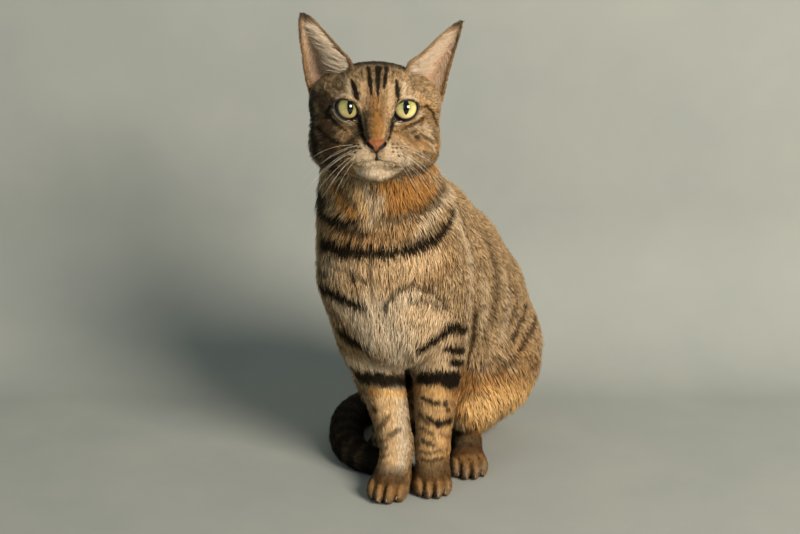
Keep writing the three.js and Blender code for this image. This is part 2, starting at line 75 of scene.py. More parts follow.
def rotz(a):
    a = math.radians(a); c, s = math.cos(a), math.sin(a)
    return np.array([[c, -s, 0], [s, c, 0], [0, 0, 1.0]])


def rotx(a):
    a = math.radians(a); c, s = math.cos(a), math.sin(a)
    return np.array([[1.0, 0, 0], [0, c, -s], [0, s, c]])


def roty(a):
    a = math.radians(a); c, s = math.cos(a), math.sin(a)
    return np.array([[c, 0, s], [0, 1.0, 0], [-s, 0, c]])


HR = rotz(HEAD_TURN[0]) @ rotx(-HEAD_TURN[1]) @ roty(HEAD_TURN[2])
GR = rotz(-HIND_YAW)
ID = np.eye(3)
PRIMS, EARS = [], {}


def head_point(p):
    return np.array(HEAD_AT) + HR @ np.array(p, float)


def E(group, part, c, r, rot, k, coat, F=ID, O=(0, 0, 0)):
    R = F @ rotz(rot[2]) @ roty(rot[1]) @ rotx(rot[0])
    PRIMS.append(dict(group=group, part=part, kind="E", k=k, coat=coat, c=np.array(O) + F @ np.array(c, float), r=np.array(r, float), R=R))


def C(group, part, a, ra, b, rb, k, coat, F=ID, O=(0, 0, 0)):
    PRIMS.append(dict(group=group, part=part, kind="C", k=k, coat=coat, a=np.array(O) + F @ np.array(a, float), ra=float(ra),
                      b=np.array(O) + F @ np.array(b, float), rb=float(rb)))


def G(group, part, c, r, rot, k, coat):
    E(group, part, c, r, rot, k, coat, GR, HIND_AT)


def H(part, c, r, rot, k, coat):
    E("front", part, c, r, rot, k, coat, HR, HEAD_AT)


def H2(part, c, r, rot, k, coat):
    H(part, [-c[0], c[1], c[2]], r, [rot[0], -rot[1], -rot[2]], k, coat)
    H(part, c, r, rot, k, coat)


def HC(part, a, ra, b, rb, k, coat):
    C("front", part, a, ra, b, rb, k, coat, HR, HEAD_AT)


def paw(g, part, at, yaw, s):
    F, O = rotz(yaw), (at[0], at[1], 0)
    E(g, part, (0, 4, 11.2 * s), (16.5 * s, 19 * s, 12.5 * s), (0, 0, 0), 6, 1.6, F, O)
    for x, y in ((-12.2, -8), (-4.4, -14), (4.4, -14), (12.2, -8)):
        E(g, part, (x * s, y * s, 7.7 * s), (5.4 * s, 11 * s, 8.6 * s), (12, 0, -x * .8), 3, 1.6, F, O)


def smooth_line(P, n):
    P = np.array(P, float); out = []
    Q = np.vstack([2 * P[0] - P[1], P, 2 * P[-1] - P[-2]])
    for i in range(len(P) - 1):
        for j in range(n):
            t = j / n
            a, b, c, d = Q[i:i + 4]
            out.append(.5 * ((2 * b) + (-a + c) * t + (2 * a - 5 * b + 4 * c - d) * t * t + (-a + 3 * b - 3 * c + d) * t ** 3))
    out.append(P[-1])
    return np.array(out)


def tail(rows, n):
    T = smooth_line(rows, n)
    for i in range(len(T) - 1):
        C("tail", "tail", T[i][:3], T[i][3], T[i + 1][:3], T[i + 1][3], 0 if i == 0 else 2, 4.5)


def ear(side, rows):
    """rows base to tip of (inner edge, outer edge) in the head's frame -> (n,2,3) in the cat's frame"""
    EARS[side] = np.array([[head_point(a), head_point(b)] for a, b in rows])

# trunk
C("core", "trunk", [12, 58, 216], 52, [34, 84, 184], 58, 0, 5)
C("core", "trunk", [34, 84, 184], 58, [53, 110, 146], 60, 6, 5)
C("core", "trunk", [53, 110, 146], 60, [65, 124, 106], 61, 6, 5)
E("core", "trunk", [19, 60, 228], [44, 40, 40], [0, 0, 0], 10, 5)
C("core", "rump", [65, 124, 106], 61, [56, 142, 70], 50, 8, 6)
G("core", "rump", [-14, 28, 41], [43, 44, 43], [0, 0, 0], 20, 6)
# chest and shoulders
E("front", "chest", [-11, 28, 218], [58, 44, 54], [0, 0, 0], 18, 6)
E("front", "chest", [-2, 24, 166], [52, 40, 60], [0, 0, 0], 18, 6)
E("front", "shoulder_r", [-40, 38, 190], [30, 36, 56], [0, -8, -8], 12, 5)
E("front", "shoulder_r", [-32, 42, 144], [25, 30, 40], [0, 0, 0], 10, 5)
E("front", "shoulder_l", [30, 38, 188], [29, 38, 58], [0, 4, 8], 12, 5)
E("front", "shoulder_l", [34, 44, 144], [25, 30, 40], [0, 0, 0], 10, 5)
# neck
E("front", "neck", [-15, 33, 254], [56, 47, 48], [12, 0, 0], 18, 6)
E("front", "neck", [-20, 15, 292], [48, 37, 44], [8, 0, 0], 18, 6)
# haunches
G("core", "thigh_l", [40, -6, 84], [32, 57, 50], [0, 0, 6], 14, 6)
E("core", "thigh_l", [62, 71, 61], [30, 35, 30], [0, 0, 0], 12, 6)
G("core", "thigh_r", [-40, -31, 74], [30, 68, 54], [0, 0, -4], 16, 6)
# skull, face and jaw, in the head's own frame
H("head", [0, 36, 4], [50, 42, 33], [0, 0, 0], 12, 2.4)
H("head", [0, 14, 12], [36, 26, 24], [0, 0, 0], 10, 2)
H2("head", [29, 18, -18], [24, 24, 26], [0, 0, 0], 10, 3)
H2("head", [33, 26, -34], [20, 22, 18], [0, 0, 0], 12, 4)
H2("head", [33, 24, 4], [20, 24, 21], [0, 0, 0], 8, 2)
H2("head", [12, 1, -5], [9, 10, 14], [0, 0, 0], 6, 1.2)
H("head", [0, -10, -31], [23, 20, 15], [0, 0, 0], 8, 1.4)
H2("head", [10.5, -17, -33], [13.5, 13, 10.5], [0, 0, 0], 5, 1.2)
HC("head", [0, 2, 4], 14, [0, -22.5, -19.5], 7.2, 6, 1.2)
H("head", [0, -26.5, -24], [7.6, 6, 5.6], [0, 0, 0], 4, 0.6)
H("head", [0, -13, -46], [14, 13, 9.5], [0, 0, 0], 6, 1.4)
H("head", [0, 10, -38], [32, 28, 18], [0, 0, 0], 10, 3)
H2("head", [22.6, 1, 1.8], [12.6, 12, 12], [0, 0, 0], 6, 0.6)
# forelegs
C("fr", "upper_fr", [-40, 34, 184], 28, [-21, 44, 114], 26, 0, 4)
C("fr", "fore_fr", [-21, 44, 114], 23, [-2, 24, 36], 14.5, 8, 2.5)
C("fr", "paw_fr", [-2, 24, 36], 14.5, [-5, 14, 20], 15.5, 6, 2)
paw("fr", "paw_fr", [-9, 4], -14, 1.05)
C("fl", "upper_fl", [36, 34, 178], 27, [33, 44, 112], 27, 0, 4)
C("fl", "fore_fl", [33, 44, 112], 24, [28, 26, 36], 15, 8, 2.5)
C("fl", "paw_fl", [28, 26, 36], 15, [27.6, 20, 20], 15.5, 6, 2)
paw("fl", "paw_fl", [27.4, 14], 2, 1.0)
# hind legs: shank, foot
C("hl", "shank_hl", [58, 82, 84], 28, [60, 142, 30], 18, 0, 5)
C("hl", "foot_hl", [60, 142, 16], 16, [60, 78, 15], 15, 8, 2.5)
paw("hl", "foot_hl", [60, 56], 4, 1.02)
C("hr", "shank_hr", [-16, 82, 84], 28, [16, 178, 30], 18, 0, 5)
C("hr", "foot_hr", [16, 178, 16], 16, [-12, 120, 15], 15, 8, 2.5)
paw("hr", "foot_hr", [-12, 98], -10, 1.02)
# tail
tail([[70, 180, 36, 24], [54, 200, 23, 18.5], [20, 208, 16.5, 18], [-22, 196, 15.5, 17], [-46, 158, 15.2, 16.5], [-49.5, 112, 15.2, 16.5], [-44, 76, 14.2, 15.5], [-29, 55, 12.8, 14], [-11, 47.5, 11.3, 12.5], [5, 48.5, 7.4, 8.6]], 4)
# ears: rows from base to tip, inner edge then outer edge, in the head's own frame
ear("r", [[[-18.8, 11.7, 29.7], [-46.1, 39.8, 3.4]], [[-20.5, 8.2, 37.7], [-52.1, 34.4, 13.3]], [[-29.2, 13.0, 46.9], [-55.9, 32.4, 29.3]], [[-37.0, 17.7, 55.4], [-57.6, 29.6, 42.0]], [[-45.0, 21.5, 63.7], [-59.7, 26.7, 54.6]], [[-51.3, 23.3, 70.0], [-60.3, 25.0, 65.6]], [[-57.4, 24.4, 72.8], [-59.4, 24.5, 71.9]]])
ear("l", [[[23.4, 10.0, 29.0], [49.3, 36.1, -0.4]], [[25.4, 6.4, 36.6], [53.5, 30.2, 9.0]], [[33.7, 10.6, 42.3], [57.2, 27.8, 27.1]], [[42.4, 14.7, 50.0], [60.3, 24.7, 40.0]], [[50.6, 17.8, 58.1], [63.6, 21.6, 53.1]], [[58.4, 19.0, 64.8], [66.1, 19.9, 62.2]], [[65.6, 19.4, 69.7], [67.0, 19.4, 68.8]]])


def ear_sheet(side, s, t):
    """mid surface of the ear cup; s 0 base to 1 tip, t 0 inner edge to 1 outer edge -> point, and the ear's width there
    """
    R = EARS[side]
    n = len(R) - 1
    flat = smooth_line(R.reshape(n + 1, 6), 6)
    u = np.clip(s, 0, 1) * (len(flat) - 1)
    i = np.minimum(u.astype(int), len(flat) - 2); f = (u - i)[..., None]
    row = flat[i] * (1 - f) + flat[i + 1] * f
    a, b = row[..., :3], row[..., 3:]
    axis = (R[-1].mean(0) - R[1].mean(0)); axis /= np.linalg.norm(axis)
    e = R[1, 1] - R[1, 0]; e -= axis * (e @ axis); e /= np.linalg.norm(e)
    back = np.cross(axis, e)
    if back[1] < 0: back = -back
    w = np.linalg.norm(b - a, axis=-1)
    bulge = EAR_CUP * w * (4 * t ** EAR_SKEW * (1 - t ** EAR_SKEW)) ** .75
    return a * (1 - t[..., None]) + b * t[..., None] + back * bulge[..., None], w


EAR_CUP, EAR_THICK, EAR_SKEW = 0.33, 2.8, 1.7


def smin(a, b, k):
    if k <= 0: return np.minimum(a, b)
    h = np.clip(k - np.abs(a - b), 0, None) / k
    return np.minimum(a, b) - h * h * k * .25


def smax(a, b, k):
    return -smin(-a, -b, k)

def d_prim(P, p, inset):
    if p["kind"] == "E":
        r = p["r"] - inset * p["coat"]
        q = (P - p["c"]) @ p["R"]
        q /= r
        k0 = np.sqrt((q * q).sum(1))
        q /= r
        return k0 * (k0 - 1) / (np.sqrt((q * q).sum(1)) + 1e-9)
    a, b = p["a"], p["b"]
    ra, rb = p["ra"] - inset * p["coat"], p["rb"] - inset * p["coat"]
    ba = b - a; pa = P - a
    h = np.clip(pa @ ba / max(ba @ ba, 1e-9), 0, 1)
    return np.sqrt(((pa - h[:, None] * ba) ** 2).sum(1)) - (ra + h * (rb - ra))


def prim_box(p):
    if p["kind"] == "E":
        e = np.sqrt(((p["R"] * p["r"]) ** 2).sum(1)); return p["c"] - e, p["c"] + e
    return np.minimum(p["a"] - p["ra"], p["b"] - p["rb"]), np.maximum(p["a"] + p["ra"], p["b"] + p["rb"])


def body_field(P, inset=1.0, lo=None, hi=None, pad=20.0):
    """signed distance-like value of the whole body; inset 1 takes the coat's depth off, 0 keeps it"""
    lo = P.min(0) if lo is None else lo; hi = P.max(0) if hi is None else hi
    use = []
    for p in PRIMS:
        a, b = prim_box(p)
        if np.all(a - pad < hi) and np.all(b + pad > lo): use.append(p)
    far = np.full(len(P), 60.0)
    part = {}
    for p in use:
        v = d_prim(P, p, inset); g = p["group"]
        part[g] = v if g not in part else smin(part[g], v, p["k"])
    body = smin(part.get("core", far), part.get("front", far), 9)
    out = body
    for g, k in GROUP_BLEND.items():
        if g in part: out = np.minimum(out, smin(body, part[g], k))
    return out


def ear_tree(side, inset):
    """points on the ear's mid surface with the half thickness there"""
    n, m = 130, 90
    s, t = np.meshgrid(np.linspace(0, 1, n), np.linspace(0, 1, m), indexing="ij")
    P, w = ear_sheet(side, s.ravel(), t.ravel())
    half = EAR_THICK * (1 - .35 * s.ravel()) / 2 - inset * EAR_COAT
    kd = KDTree(len(P))
    for i, p in enumerate(P): kd.insert(p, i)
    kd.balance()
    return kd, P, half


EAR_COAT = 0.35
EAR_TREES = {}


def with_ears(P, v, inset=1.0):
    """blend the ear cups into the field where they are near"""
    v = v.copy()
    for side in EARS:
        key = (side, inset)
        if key not in EAR_TREES: EAR_TREES[key] = ear_tree(side, inset)
        kd, S, half = EAR_TREES[key]
        lo, hi = S.min(0) - 9, S.max(0) + 9
        near = np.where(((P > lo) & (P < hi)).all(1))[0]
        if not len(near): continue
        d = np.empty(len(near))
        for j, i in enumerate(near):
            co, k, dist = kd.find(P[i])
            d[j] = dist - half[k]
        v[near] = smin(v[near], d, 5)
    return v


def grid(f, lo, hi, h, block=16):
    """dense samples of f, worked out only near the surface"""
    lo = np.array(lo, float)
    nb = np.ceil((np.array(hi) - lo) / h / block).astype(int)
    g = np.full(nb * block + 1, 30.0, np.float32)
    o = np.arange(block + 1) * h
    loc = np.stack(np.meshgrid(o, o, o, indexing="ij"), -1).reshape(-1, 3)
    half = block * h / 2
    cells = np.stack(np.meshgrid(*[np.arange(m) for m in nb], indexing="ij"), -1).reshape(-1, 3)
    mid = lo + cells * block * h + half
    d = f(mid, mid.min(0), mid.max(0))
    for c, p, v in zip(cells, mid, d):
        s = tuple(slice(a * block, a * block + block + 1) for a in c)
        if abs(v) < half * 1.75 + 8:
            P = lo + c * block * h + loc
            g[s] = f(P, P[0], P[-1]).reshape((block + 1,) * 3)
        elif v < 0:
            g[s] = -30.0
    return lo, g


def nets(lo, g, h):
    """surface nets: vertices and outward quads"""
    S = g < 0
    cnt = np.zeros([n - 1 for n in S.shape], np.int8)
    for i in (0, 1):
        for j in (0, 1):
            for k in (0, 1):
                cnt += S[i:S.shape[0] - 1 + i, j:S.shape[1] - 1 + j, k:S.shape[2] - 1 + k]
    cell = (cnt > 0) & (cnt < 8)
    idx = np.full(cell.shape, -1, np.int64)
    Cc = np.argwhere(cell); idx[cell] = np.arange(len(Cc))
    pos = np.zeros((len(Cc), 3)); w = np.zeros(len(Cc))
    corners = [(i, j, k) for i in (0, 1) for j in (0, 1) for k in (0, 1)]
    val = {c: g[Cc[:, 0] + c[0], Cc[:, 1] + c[1], Cc[:, 2] + c[2]].astype(float) for c in corners}
    for c in corners:
        for ax in range(3):
            if c[ax] == 0:
                e = list(c); e[ax] = 1
                va, vb = val[c], val[tuple(e)]
                cr = (va < 0) != (vb < 0)
                t = np.where(cr, va / np.where(cr, va - vb, 1), 0)
                for q in range(3): pos[:, q] += cr * (c[q] + (t if q == ax else 0))
                w += cr
    V = lo + (Cc + pos / w[:, None]) * h
    quads = []
    for ax in range(3):
        s0 = [slice(None)] * 3; s1 = [slice(None)] * 3
        s0[ax] = slice(0, -1); s1[ax] = slice(1, None)
        A, B = S[tuple(s0)], S[tuple(s1)]
        Ee = np.argwhere(A != B)
        u, v = [(1, 2), (2, 0), (0, 1)][ax]
        Ee = Ee[(Ee[:, u] > 0) & (Ee[:, v] > 0) & (Ee[:, u] < g.shape[u] - 1) & (Ee[:, v] < g.shape[v] - 1)]

        def at(du, dv):
            q = Ee.copy(); q[:, u] -= du; q[:, v] -= dv
            return idx[q[:, 0], q[:, 1], q[:, 2]]
        Q = np.stack([at(1, 1), at(0, 1), at(0, 0), at(1, 0)], 1)
        out = ~A[Ee[:, 0], Ee[:, 1], Ee[:, 2]]
        Q[out] = Q[out][:, ::-1]
        quads.append(Q)
    return V, np.vstack(quads)

# ---------------------------------------------------------------- the skin's own detail, in the head's frame
def closed_curve(pts, n):
    P = np.array(pts, float); m = len(P); out = []
    for i in range(m):
        a, b, c, d = P[i - 1], P[i], P[(i + 1) % m], P[(i + 2) % m]
        for j in range(n):
            t = j / n
            out.append(.5 * ((2 * b) + (-a + c) * t + (2 * a - 5 * b + 4 * c - d) * t * t + (-a + 3 * b - 3 * c + d) * t ** 3))
    return np.array(out)


# eye opening: outward and up from the eyeball's centre, outer corner first
LID = closed_curve([(9.3, 3.9), (6.5, 6.0), (2.6, 6.7), (-1.8, 6.0), (-5.6, 3.7), (-8.3, -.2), (-10.0, -4.8), (-11.4, -8.9),
                    (-7.2, -9.0), (-1.8, -8.9), (3.4, -7.5), (7.4, -3.9), (9.4, .4)], 16)
_a = np.arctan2(LID[:, 1], LID[:, 0]); _o = np.argsort(_a)
LID_A, LID_RHO = _a[_o], np.hypot(LID[:, 0], LID[:, 1])[_o]
LID_A = np.concatenate([LID_A - 2 * np.pi, LID_A, LID_A + 2 * np.pi]); LID_RHO = np.tile(LID_RHO, 3)


def to_head(P):
    return (P - np.array(HEAD_AT)) @ HR


def lid_gap(q):
    """distance outside the nearer eye's opening, seen from the front; negative within it"""
    xo, z = np.abs(q[:, 0]) - EYE_X, q[:, 2] - EYE_Z
    return (np.hypot(xo, z) - np.interp(np.arctan2(z, xo), LID_A, LID_RHO)) * .88


def line_gap(q, pts, deep=.3):
    """distance to a polyline, mirrored left and right, and the share along it; depth counts for less"""
    p = np.column_stack([np.abs(q[:, 0]), q[:, 1] * deep, q[:, 2]])
    return poly_gap(p, np.array(pts, float) * (1, deep, 1))


def poly_gap(p, pts):
    pts = np.array(pts, float); best = np.full(len(p), 1e9); where = np.zeros(len(p)); n = len(pts) - 1
    for i in range(n):
        a, b = pts[i], pts[i + 1]; ba = b - a
        h = np.clip((p - a) @ ba / (ba @ ba), 0, 1)
        d = np.sqrt(((p - a - h[:, None] * ba) ** 2).sum(1))
        m = d < best
        best[m] = d[m]; where[m] = (i + h[m]) / n
    return best, where


MOUTH = [(0, -29, -34.6), (4, -28.8, -36.0), (8, -27.8, -36.8), (13, -25, -37.4), (18, -19.5, -38.2), (21.5, -11, -39.2), (22.5, -3, -39.4)]
NOSTRIL = [(6.6, -27.2, -22.4), (5.7, -29.0, -23.5), (4.5, -30.4, -24.5), (3.3, -31.1, -25.5)]
CREASE = [(44, 54, 258), (51, 43, 238), (59, 42, 218), (64, 45, 199), (66, 41, 181), (64, 41, 156), (62, 43, 135), (60, 43, 117), (56, 41, 102), (52, 41, 88)]
MIDLINE = [(-25, -9, 208), (-23, -8, 185), (-18, -9, 167), (-10, -7, 147), (-1, -1, 126), (5, 6, 106)]
ARM_FOLD = [(12, -16, 214), (1, -17, 206), (-6, -16, 196), (-11, -14, 182)]


def head_detail(P, v):
    """lids, nostrils, nose edge, philtrum and mouth cut into the smooth head"""
    q = to_head(P)
    near = np.where((q[:, 1] < 8) & (np.abs(q[:, 0]) < 44) & (np.abs(q[:, 2]) < 56) & (np.abs(v) < 14))[0]
    if not len(near): return v
    q = q[near]; w = v[near].copy()
    ax = np.abs(q[:, 0])
    # brow: the upper lid sits under a soft fold
    g = lid_gap(q)
    xo, z = ax - EYE_X, q[:, 2] - EYE_Z
    front = step(2, -4, q[:, 1])
    up = step(-1, 3, z)
    w += front * up * .55 * np.exp(-((g - 3.4) / 1.0) ** 2)
    w -= front * (.35 + .35 * up) * np.exp(-((g - 1.3) / .9) ** 2)
    # the opening, no deeper than it needs to be past the eyeball's edge
    rho = np.hypot(xo, z)
    bottom = q[:, 1] - EYE_Y + 2.0 + 4.6 * step(8.2, 11.0, rho)
    w = smax(w, -np.maximum(g, bottom), .8)
    # tear groove from the inner corner down the nose
    d, t = line_gap(q, [(12.6, -9, -7.0), (10.6, -11, -11.5), (9.4, -14, -16)])
    w += .9 * (1 - t) * np.exp(-(d / 1.3) ** 2)
    # nose: nostrils, wings, the groove down to the lip
    d, t = line_gap(q, NOSTRIL)
    hole = d - (.5 + .85 * np.sin(np.pi * np.clip(.12 + .76 * t, 0, 1)))
    w = smax(w, -np.maximum(hole, -1.0 - w), .5)
    d, t = line_gap(q, [(4.9, -29.5, -20.3), (7.6, -26.2, -21.0), (7.9, -24.5, -23.6)])
    w -= .45 * np.exp(-(d / 1.2) ** 2)
    d, t = line_gap(q, [(7.4, -24.5, -19.0), (6.4, -25.6, -26.6), (2.0, -29.6, -29.6)])
    w += .55 * np.exp(-(d / .8) ** 2)
    d, t = line_gap(q, [(0, -33, -25.5), (0, -31, -30.0), (0, -29, -34.6)])
    w += (.5 + .8 * step(.3, .7, t)) * np.exp(-(d / .85) ** 2)
    d, t = line_gap(q, MOUTH)
    w += 1.5 * (1 - .6 * t) * np.exp(-(d / 1.0) ** 2)
    # lower lip and chin stand clear of the pads
    d, t = line_gap(q, [(0, -25.8, -39.4), (7, -25.0, -40.0), (12, -22, -41)])
    w -= .7 * np.exp(-(d / 2.2) ** 2)
    v = v.copy(); v[near] = w
    return v


TOES = [p for p in PRIMS if p["kind"] == "E" and p["k"] == 3 and p["coat"] == 1.6]


def folds(P, v):
    """the crease behind the left shoulder and the soft furrows of the breast"""
    for line, depth, wide in ((CREASE, 7.5, 6.5), (MIDLINE, 1.3, 6.0), (ARM_FOLD, 1.2, 4.5)):
        L = np.array(line, float); lo, hi = L.min(0) - 3 * wide, L.max(0) + 3 * wide
        near = np.where(((P > lo) & (P < hi)).all(1) & (np.abs(v) < 16))[0]
        if not len(near): continue
        d, t = poly_gap(P[near], line)
        v = v.copy(); v[near] += depth * np.sin(np.pi * np.clip(.12 + .80 * t, 0, 1)) * np.exp(-(d / wide) ** 2)
    return v


def skin_field(P, lo=None, hi=None):
    v = folds(P, body_field(P, 1.0, lo, hi))
    if (P[:, 2].max() if hi is None else hi[2]) > 300:
        v = with_ears(P, v, 1.0)
        v = head_detail(P, v)
    return v


def by_blocks(f, P, size=26.0):
    """f over many points, block by block so that each call meets few primitives"""
    key = np.floor(P / size).astype(np.int64)
    key = (key[:, 0] * 4096 + key[:, 1]) * 4096 + key[:, 2]
    order = np.argsort(key, kind="stable"); cut = np.flatnonzero(np.diff(key[order])) + 1
    out = np.empty(len(P))
    for idx in np.split(order, cut):
        Q = P[idx]; out[idx] = f(Q, Q.min(0), Q.max(0))
    return out


def gradient(P, e=.35):
    g = np.zeros_like(P)
    for k in ((1, 1, 1), (1, -1, -1), (-1, 1, -1), (-1, -1, 1)):
        k = np.array(k, float)
        g += by_blocks(skin_field, P + k * e)[:, None] * k
    return g / (4 * e)


def settle(V, rounds=3):
    for i in range(rounds):
        v = by_blocks(skin_field, V); g = gradient(V)
        move = -(v / np.maximum((g * g).sum(1), .2))[:, None] * g
        n = np.linalg.norm(move, axis=1, keepdims=True)
        V = V + move * np.minimum(1, .9 / np.maximum(n, 1e-6))
    return V


def tris(Q, V):
    a = np.linalg.norm(V[Q[:, 0]] - V[Q[:, 2]], axis=1) < np.linalg.norm(V[Q[:, 1]] - V[Q[:, 3]], axis=1)
    return np.vstack([Q[a][:, [0, 1, 2]], Q[a][:, [0, 2, 3]], Q[~a][:, [0, 1, 3]], Q[~a][:, [1, 2, 3]]])


def rim(F):
    """the open loop of a triangle mesh, in order"""
    E = np.vstack([F[:, [0, 1]], F[:, [1, 2]], F[:, [2, 0]]])
    key = set(map(tuple, E.tolist()))
    nxt = {a: b for a, b in key if (b, a) not in key}
    start = next(iter(nxt)); loop = [start]
    while nxt[loop[-1]] != start: loop.append(nxt[loop[-1]])
    return loop, len(nxt)


def used(V, F):
    keep = np.zeros(len(V), bool); keep[F.ravel()] = True
    new = np.cumsum(keep) - 1
    return V[keep], new[F]


def zip_loops(V, A, B):
    """triangles between the rim A of the lower mesh and the rim B of the upper one"""
    c = V[A].mean(0)
    ang = lambda L: np.unwrap(np.arctan2(V[L][:, 1] - c[1], V[L][:, 0] - c[0]))
    a, b = list(A), list(B)
    aa, bb = ang(a), ang(b)
    if aa[-1] < aa[0]: a = a[::-1]; aa = ang(a)
    if bb[-1] < bb[0]: b = b[::-1]; bb = ang(b)
    k = int(np.argmin(np.abs(np.angle(np.exp(1j * (bb - aa[0])))))); b = b[k:] + b[:k]
    aa, bb = ang(a + [a[0]]), ang(b + [b[0]])
    bb += 2 * np.pi * np.round((aa[0] - bb[0]) / (2 * np.pi))
    a, b = a + [a[0]], b + [b[0]]
    i = j = 0; out = []
    while i < len(a) - 1 or j < len(b) - 1:
        if j == len(b) - 1 or (i < len(a) - 1 and aa[i + 1] <= bb[j + 1]):
            out.append((a[i], a[i + 1], b[j])); i += 1
        else:
            out.append((a[i], b[j + 1], b[j])); j += 1
    return np.array(out)


def refine(V, F, want):
    """splits the triangles that want(centres) picks, with their neighbours closed to match"""
    pick = want(V[F].mean(1))
    E = np.sort(np.stack([F, np.roll(F, -1, 1)], 2), 2)                 # edges 01, 12, 20
    key = E[..., 0].astype(np.int64) * len(V) + E[..., 1]
    cutk = np.unique(key[pick])
    pos = np.searchsorted(cutk, key); pos[pos == len(cutk)] = 0
    hit = cutk[pos] == key
    mid = np.where(hit, pos + len(V), -1)
    NV = (V[cutk // len(V)] + V[cutk % len(V)]) / 2
    out = [F[~hit.any(1)]]
    n = hit.sum(1)
    for r in range(3):
        G = np.roll(F, -r, 1); M = np.roll(mid, -r, 1); H_ = np.roll(hit, -r, 1)
        one = (n == 1) & H_[:, 0]
        g, m = G[one], M[one]
        out += [np.column_stack([g[:, 0], m[:, 0], g[:, 2]]), np.column_stack([m[:, 0], g[:, 1], g[:, 2]])]
        two = (n == 2) & ~H_[:, 2]
        g, m = G[two], M[two]
        out += [np.column_stack([m[:, 0], g[:, 1], m[:, 1]]), np.column_stack([g[:, 0], m[:, 0], m[:, 1]]), np.column_stack([g[:, 0], m[:, 1], g[:, 2]])]
    t = n == 3
    g, m = F[t], mid[t]
    out += [np.column_stack([g[:, 0], m[:, 0], m[:, 2]]), np.column_stack([m[:, 0], g[:, 1], m[:, 1]]),
            np.column_stack([m[:, 2], m[:, 1], g[:, 2]]), m]
    return np.vstack([V, NV]), np.vstack(out)


def main_surface(V, F):
    """the one piece with the most corners, without pockets closed off inside it"""
    lab = np.arange(len(V))
    while True:
        m = lab[F].min(1); new = lab.copy()
        for i in range(3): np.minimum.at(new, F[:, i], m)
        new = new[new]
        if (new == lab).all(): break
        lab = new
    return used(V, F[lab[F[:, 0]] == np.bincount(lab[F[:, 0]]).argmax()])


def unpinch(V, F):
    """where two sheets share an edge, each gets its own corners and draws back toward its own side"""
    H = np.vstack([F[:, [0, 1]], F[:, [1, 2]], F[:, [2, 0]]]); own = np.tile(np.arange(len(F)), 3)
    E = np.sort(H, axis=1)
    _, inv, cnt = np.unique(E[:, 0].astype(np.int64) * len(V) + E[:, 1], return_inverse=True, return_counts=True)
    c = cnt[inv.ravel()]; bad = np.unique(E[c > 2])
    nrm = unit(np.cross(V[F[:, 1]] - V[F[:, 0]], V[F[:, 2]] - V[F[:, 0]]))
    mate = {}                                   # shared edge -> which face goes on into which
    for k in np.where(c > 2)[0]:
        mate.setdefault(tuple(E[k].tolist()), ([], []))[int(H[k, 0] > H[k, 1])].append(int(own[k]))
    for e, (a, b) in mate.items():
        pick = {}; rest = list(b)
        best = sorted(((-float(nrm[f] @ nrm[g]), f, g) for f in a for g in b))
        if len(a) == 2 and len(b) == 2:
            s = nrm[a] @ nrm[b].T
            best = [(0, a[0], b[0]), (0, a[1], b[1])] if s[0, 0] + s[1, 1] > s[0, 1] + s[1, 0] else [(0, a[0], b[1]), (0, a[1], b[0])]
        for _, f, g in best:
            if f not in pick and g not in pick: pick[f] = g; pick[g] = f
        mate[e] = pick
    hit = np.zeros(len(V), bool); hit[bad] = True
    near = {int(v): [] for v in bad}
    for f in np.where(hit[F].any(1))[0]:
        for v in F[f]:
            if hit[v]: near[int(v)].append(int(f))
    G = F.copy(); out = V.copy(); more = []
    for v in bad.tolist():
        left = list(near[v]); fans = []
        while left:
            fan = [left.pop()]; i = 0
            while i < len(fan):
                g = fan[i]; i += 1
                for f in list(left):
                    for x in (set(F[f].tolist()) & set(F[g].tolist())) - {v}:
                        pick = mate.get((min(v, x), max(v, x)))
                        if pick is None or pick.get(g) == f:
                            fan.append(f); left.remove(f)
                            break
            fans.append(fan)
        if len(fans) < 2: continue
        for n, fan in enumerate(fans):
            p = V[v] + .3 * (V[sorted(set(F[fan].ravel().tolist()) - {v})].mean(0) - V[v])
            if n == 0: out[v] = p; continue
            new = len(V) + len(more); more.append(p)
            for f in fan: G[f][F[f] == v] = new
    out = np.vstack([out, more]) if more else out
    E = np.sort(np.vstack([G[:, [0, 1]], G[:, [1, 2]], G[:, [2, 0]]]), axis=1)
    cnt = np.unique(E[:, 0].astype(np.int64) * len(out) + E[:, 1], return_counts=True)[1]
    say("pinched corners", len(bad), "added", len(more), "open", int((cnt == 1).sum()), "shared", int((cnt > 2).sum()))
    return out, G


def make_skin(coarse, seam=278.0):
    lo, g = grid(skin_field, (-104, -72, -6 - (coarse - 2.2) * 0), (160, 256, seam), coarse)
    k = int(round((seam - lo[2]) / coarse)) + 1
    V1, Q1 = nets(lo, g[:, :, :k], coarse)
    F1 = tris(Q1, V1)
    fine = coarse / 2
    lo2, g2 = grid(skin_field, (-84, -76, lo[2] + (k - 1) * coarse), (52, 76, 412), fine)
    V2, Q2 = nets(lo2, g2, fine)
    F2 = tris(Q2, V2) + len(V1)
    V = np.vstack([V1, V2])
    A, na = rim(F1); B, nb = rim(F2)
    if na != len(A) or nb != len(B): print("NOTE: skin rims", na, len(A), nb, len(B))
    Z = zip_loops(V, A, B)
    F = np.vstack([F1, F2, Z])
    # drop corners that no face uses, and turn the zip the right way round
    V, F = used(V, F)
    z = np.arange(len(F) - len(Z), len(F)); c = V[F[z]].mean(1)
    nrm = np.cross(V[F[z, 1]] - V[F[z, 0]], V[F[z, 2]] - V[F[z, 0]]); mid = V[F[z]].reshape(-1, 3).mean(0)
    flip = ((c - mid) * nrm)[:, :2].sum(1) < 0
    F[z[flip]] = F[z[flip]][:, ::-1]
    return V, F

# ---------------------------------------------------------------- the lie of the coat
SPINE = np.array([0.30, 0.42, -0.86])


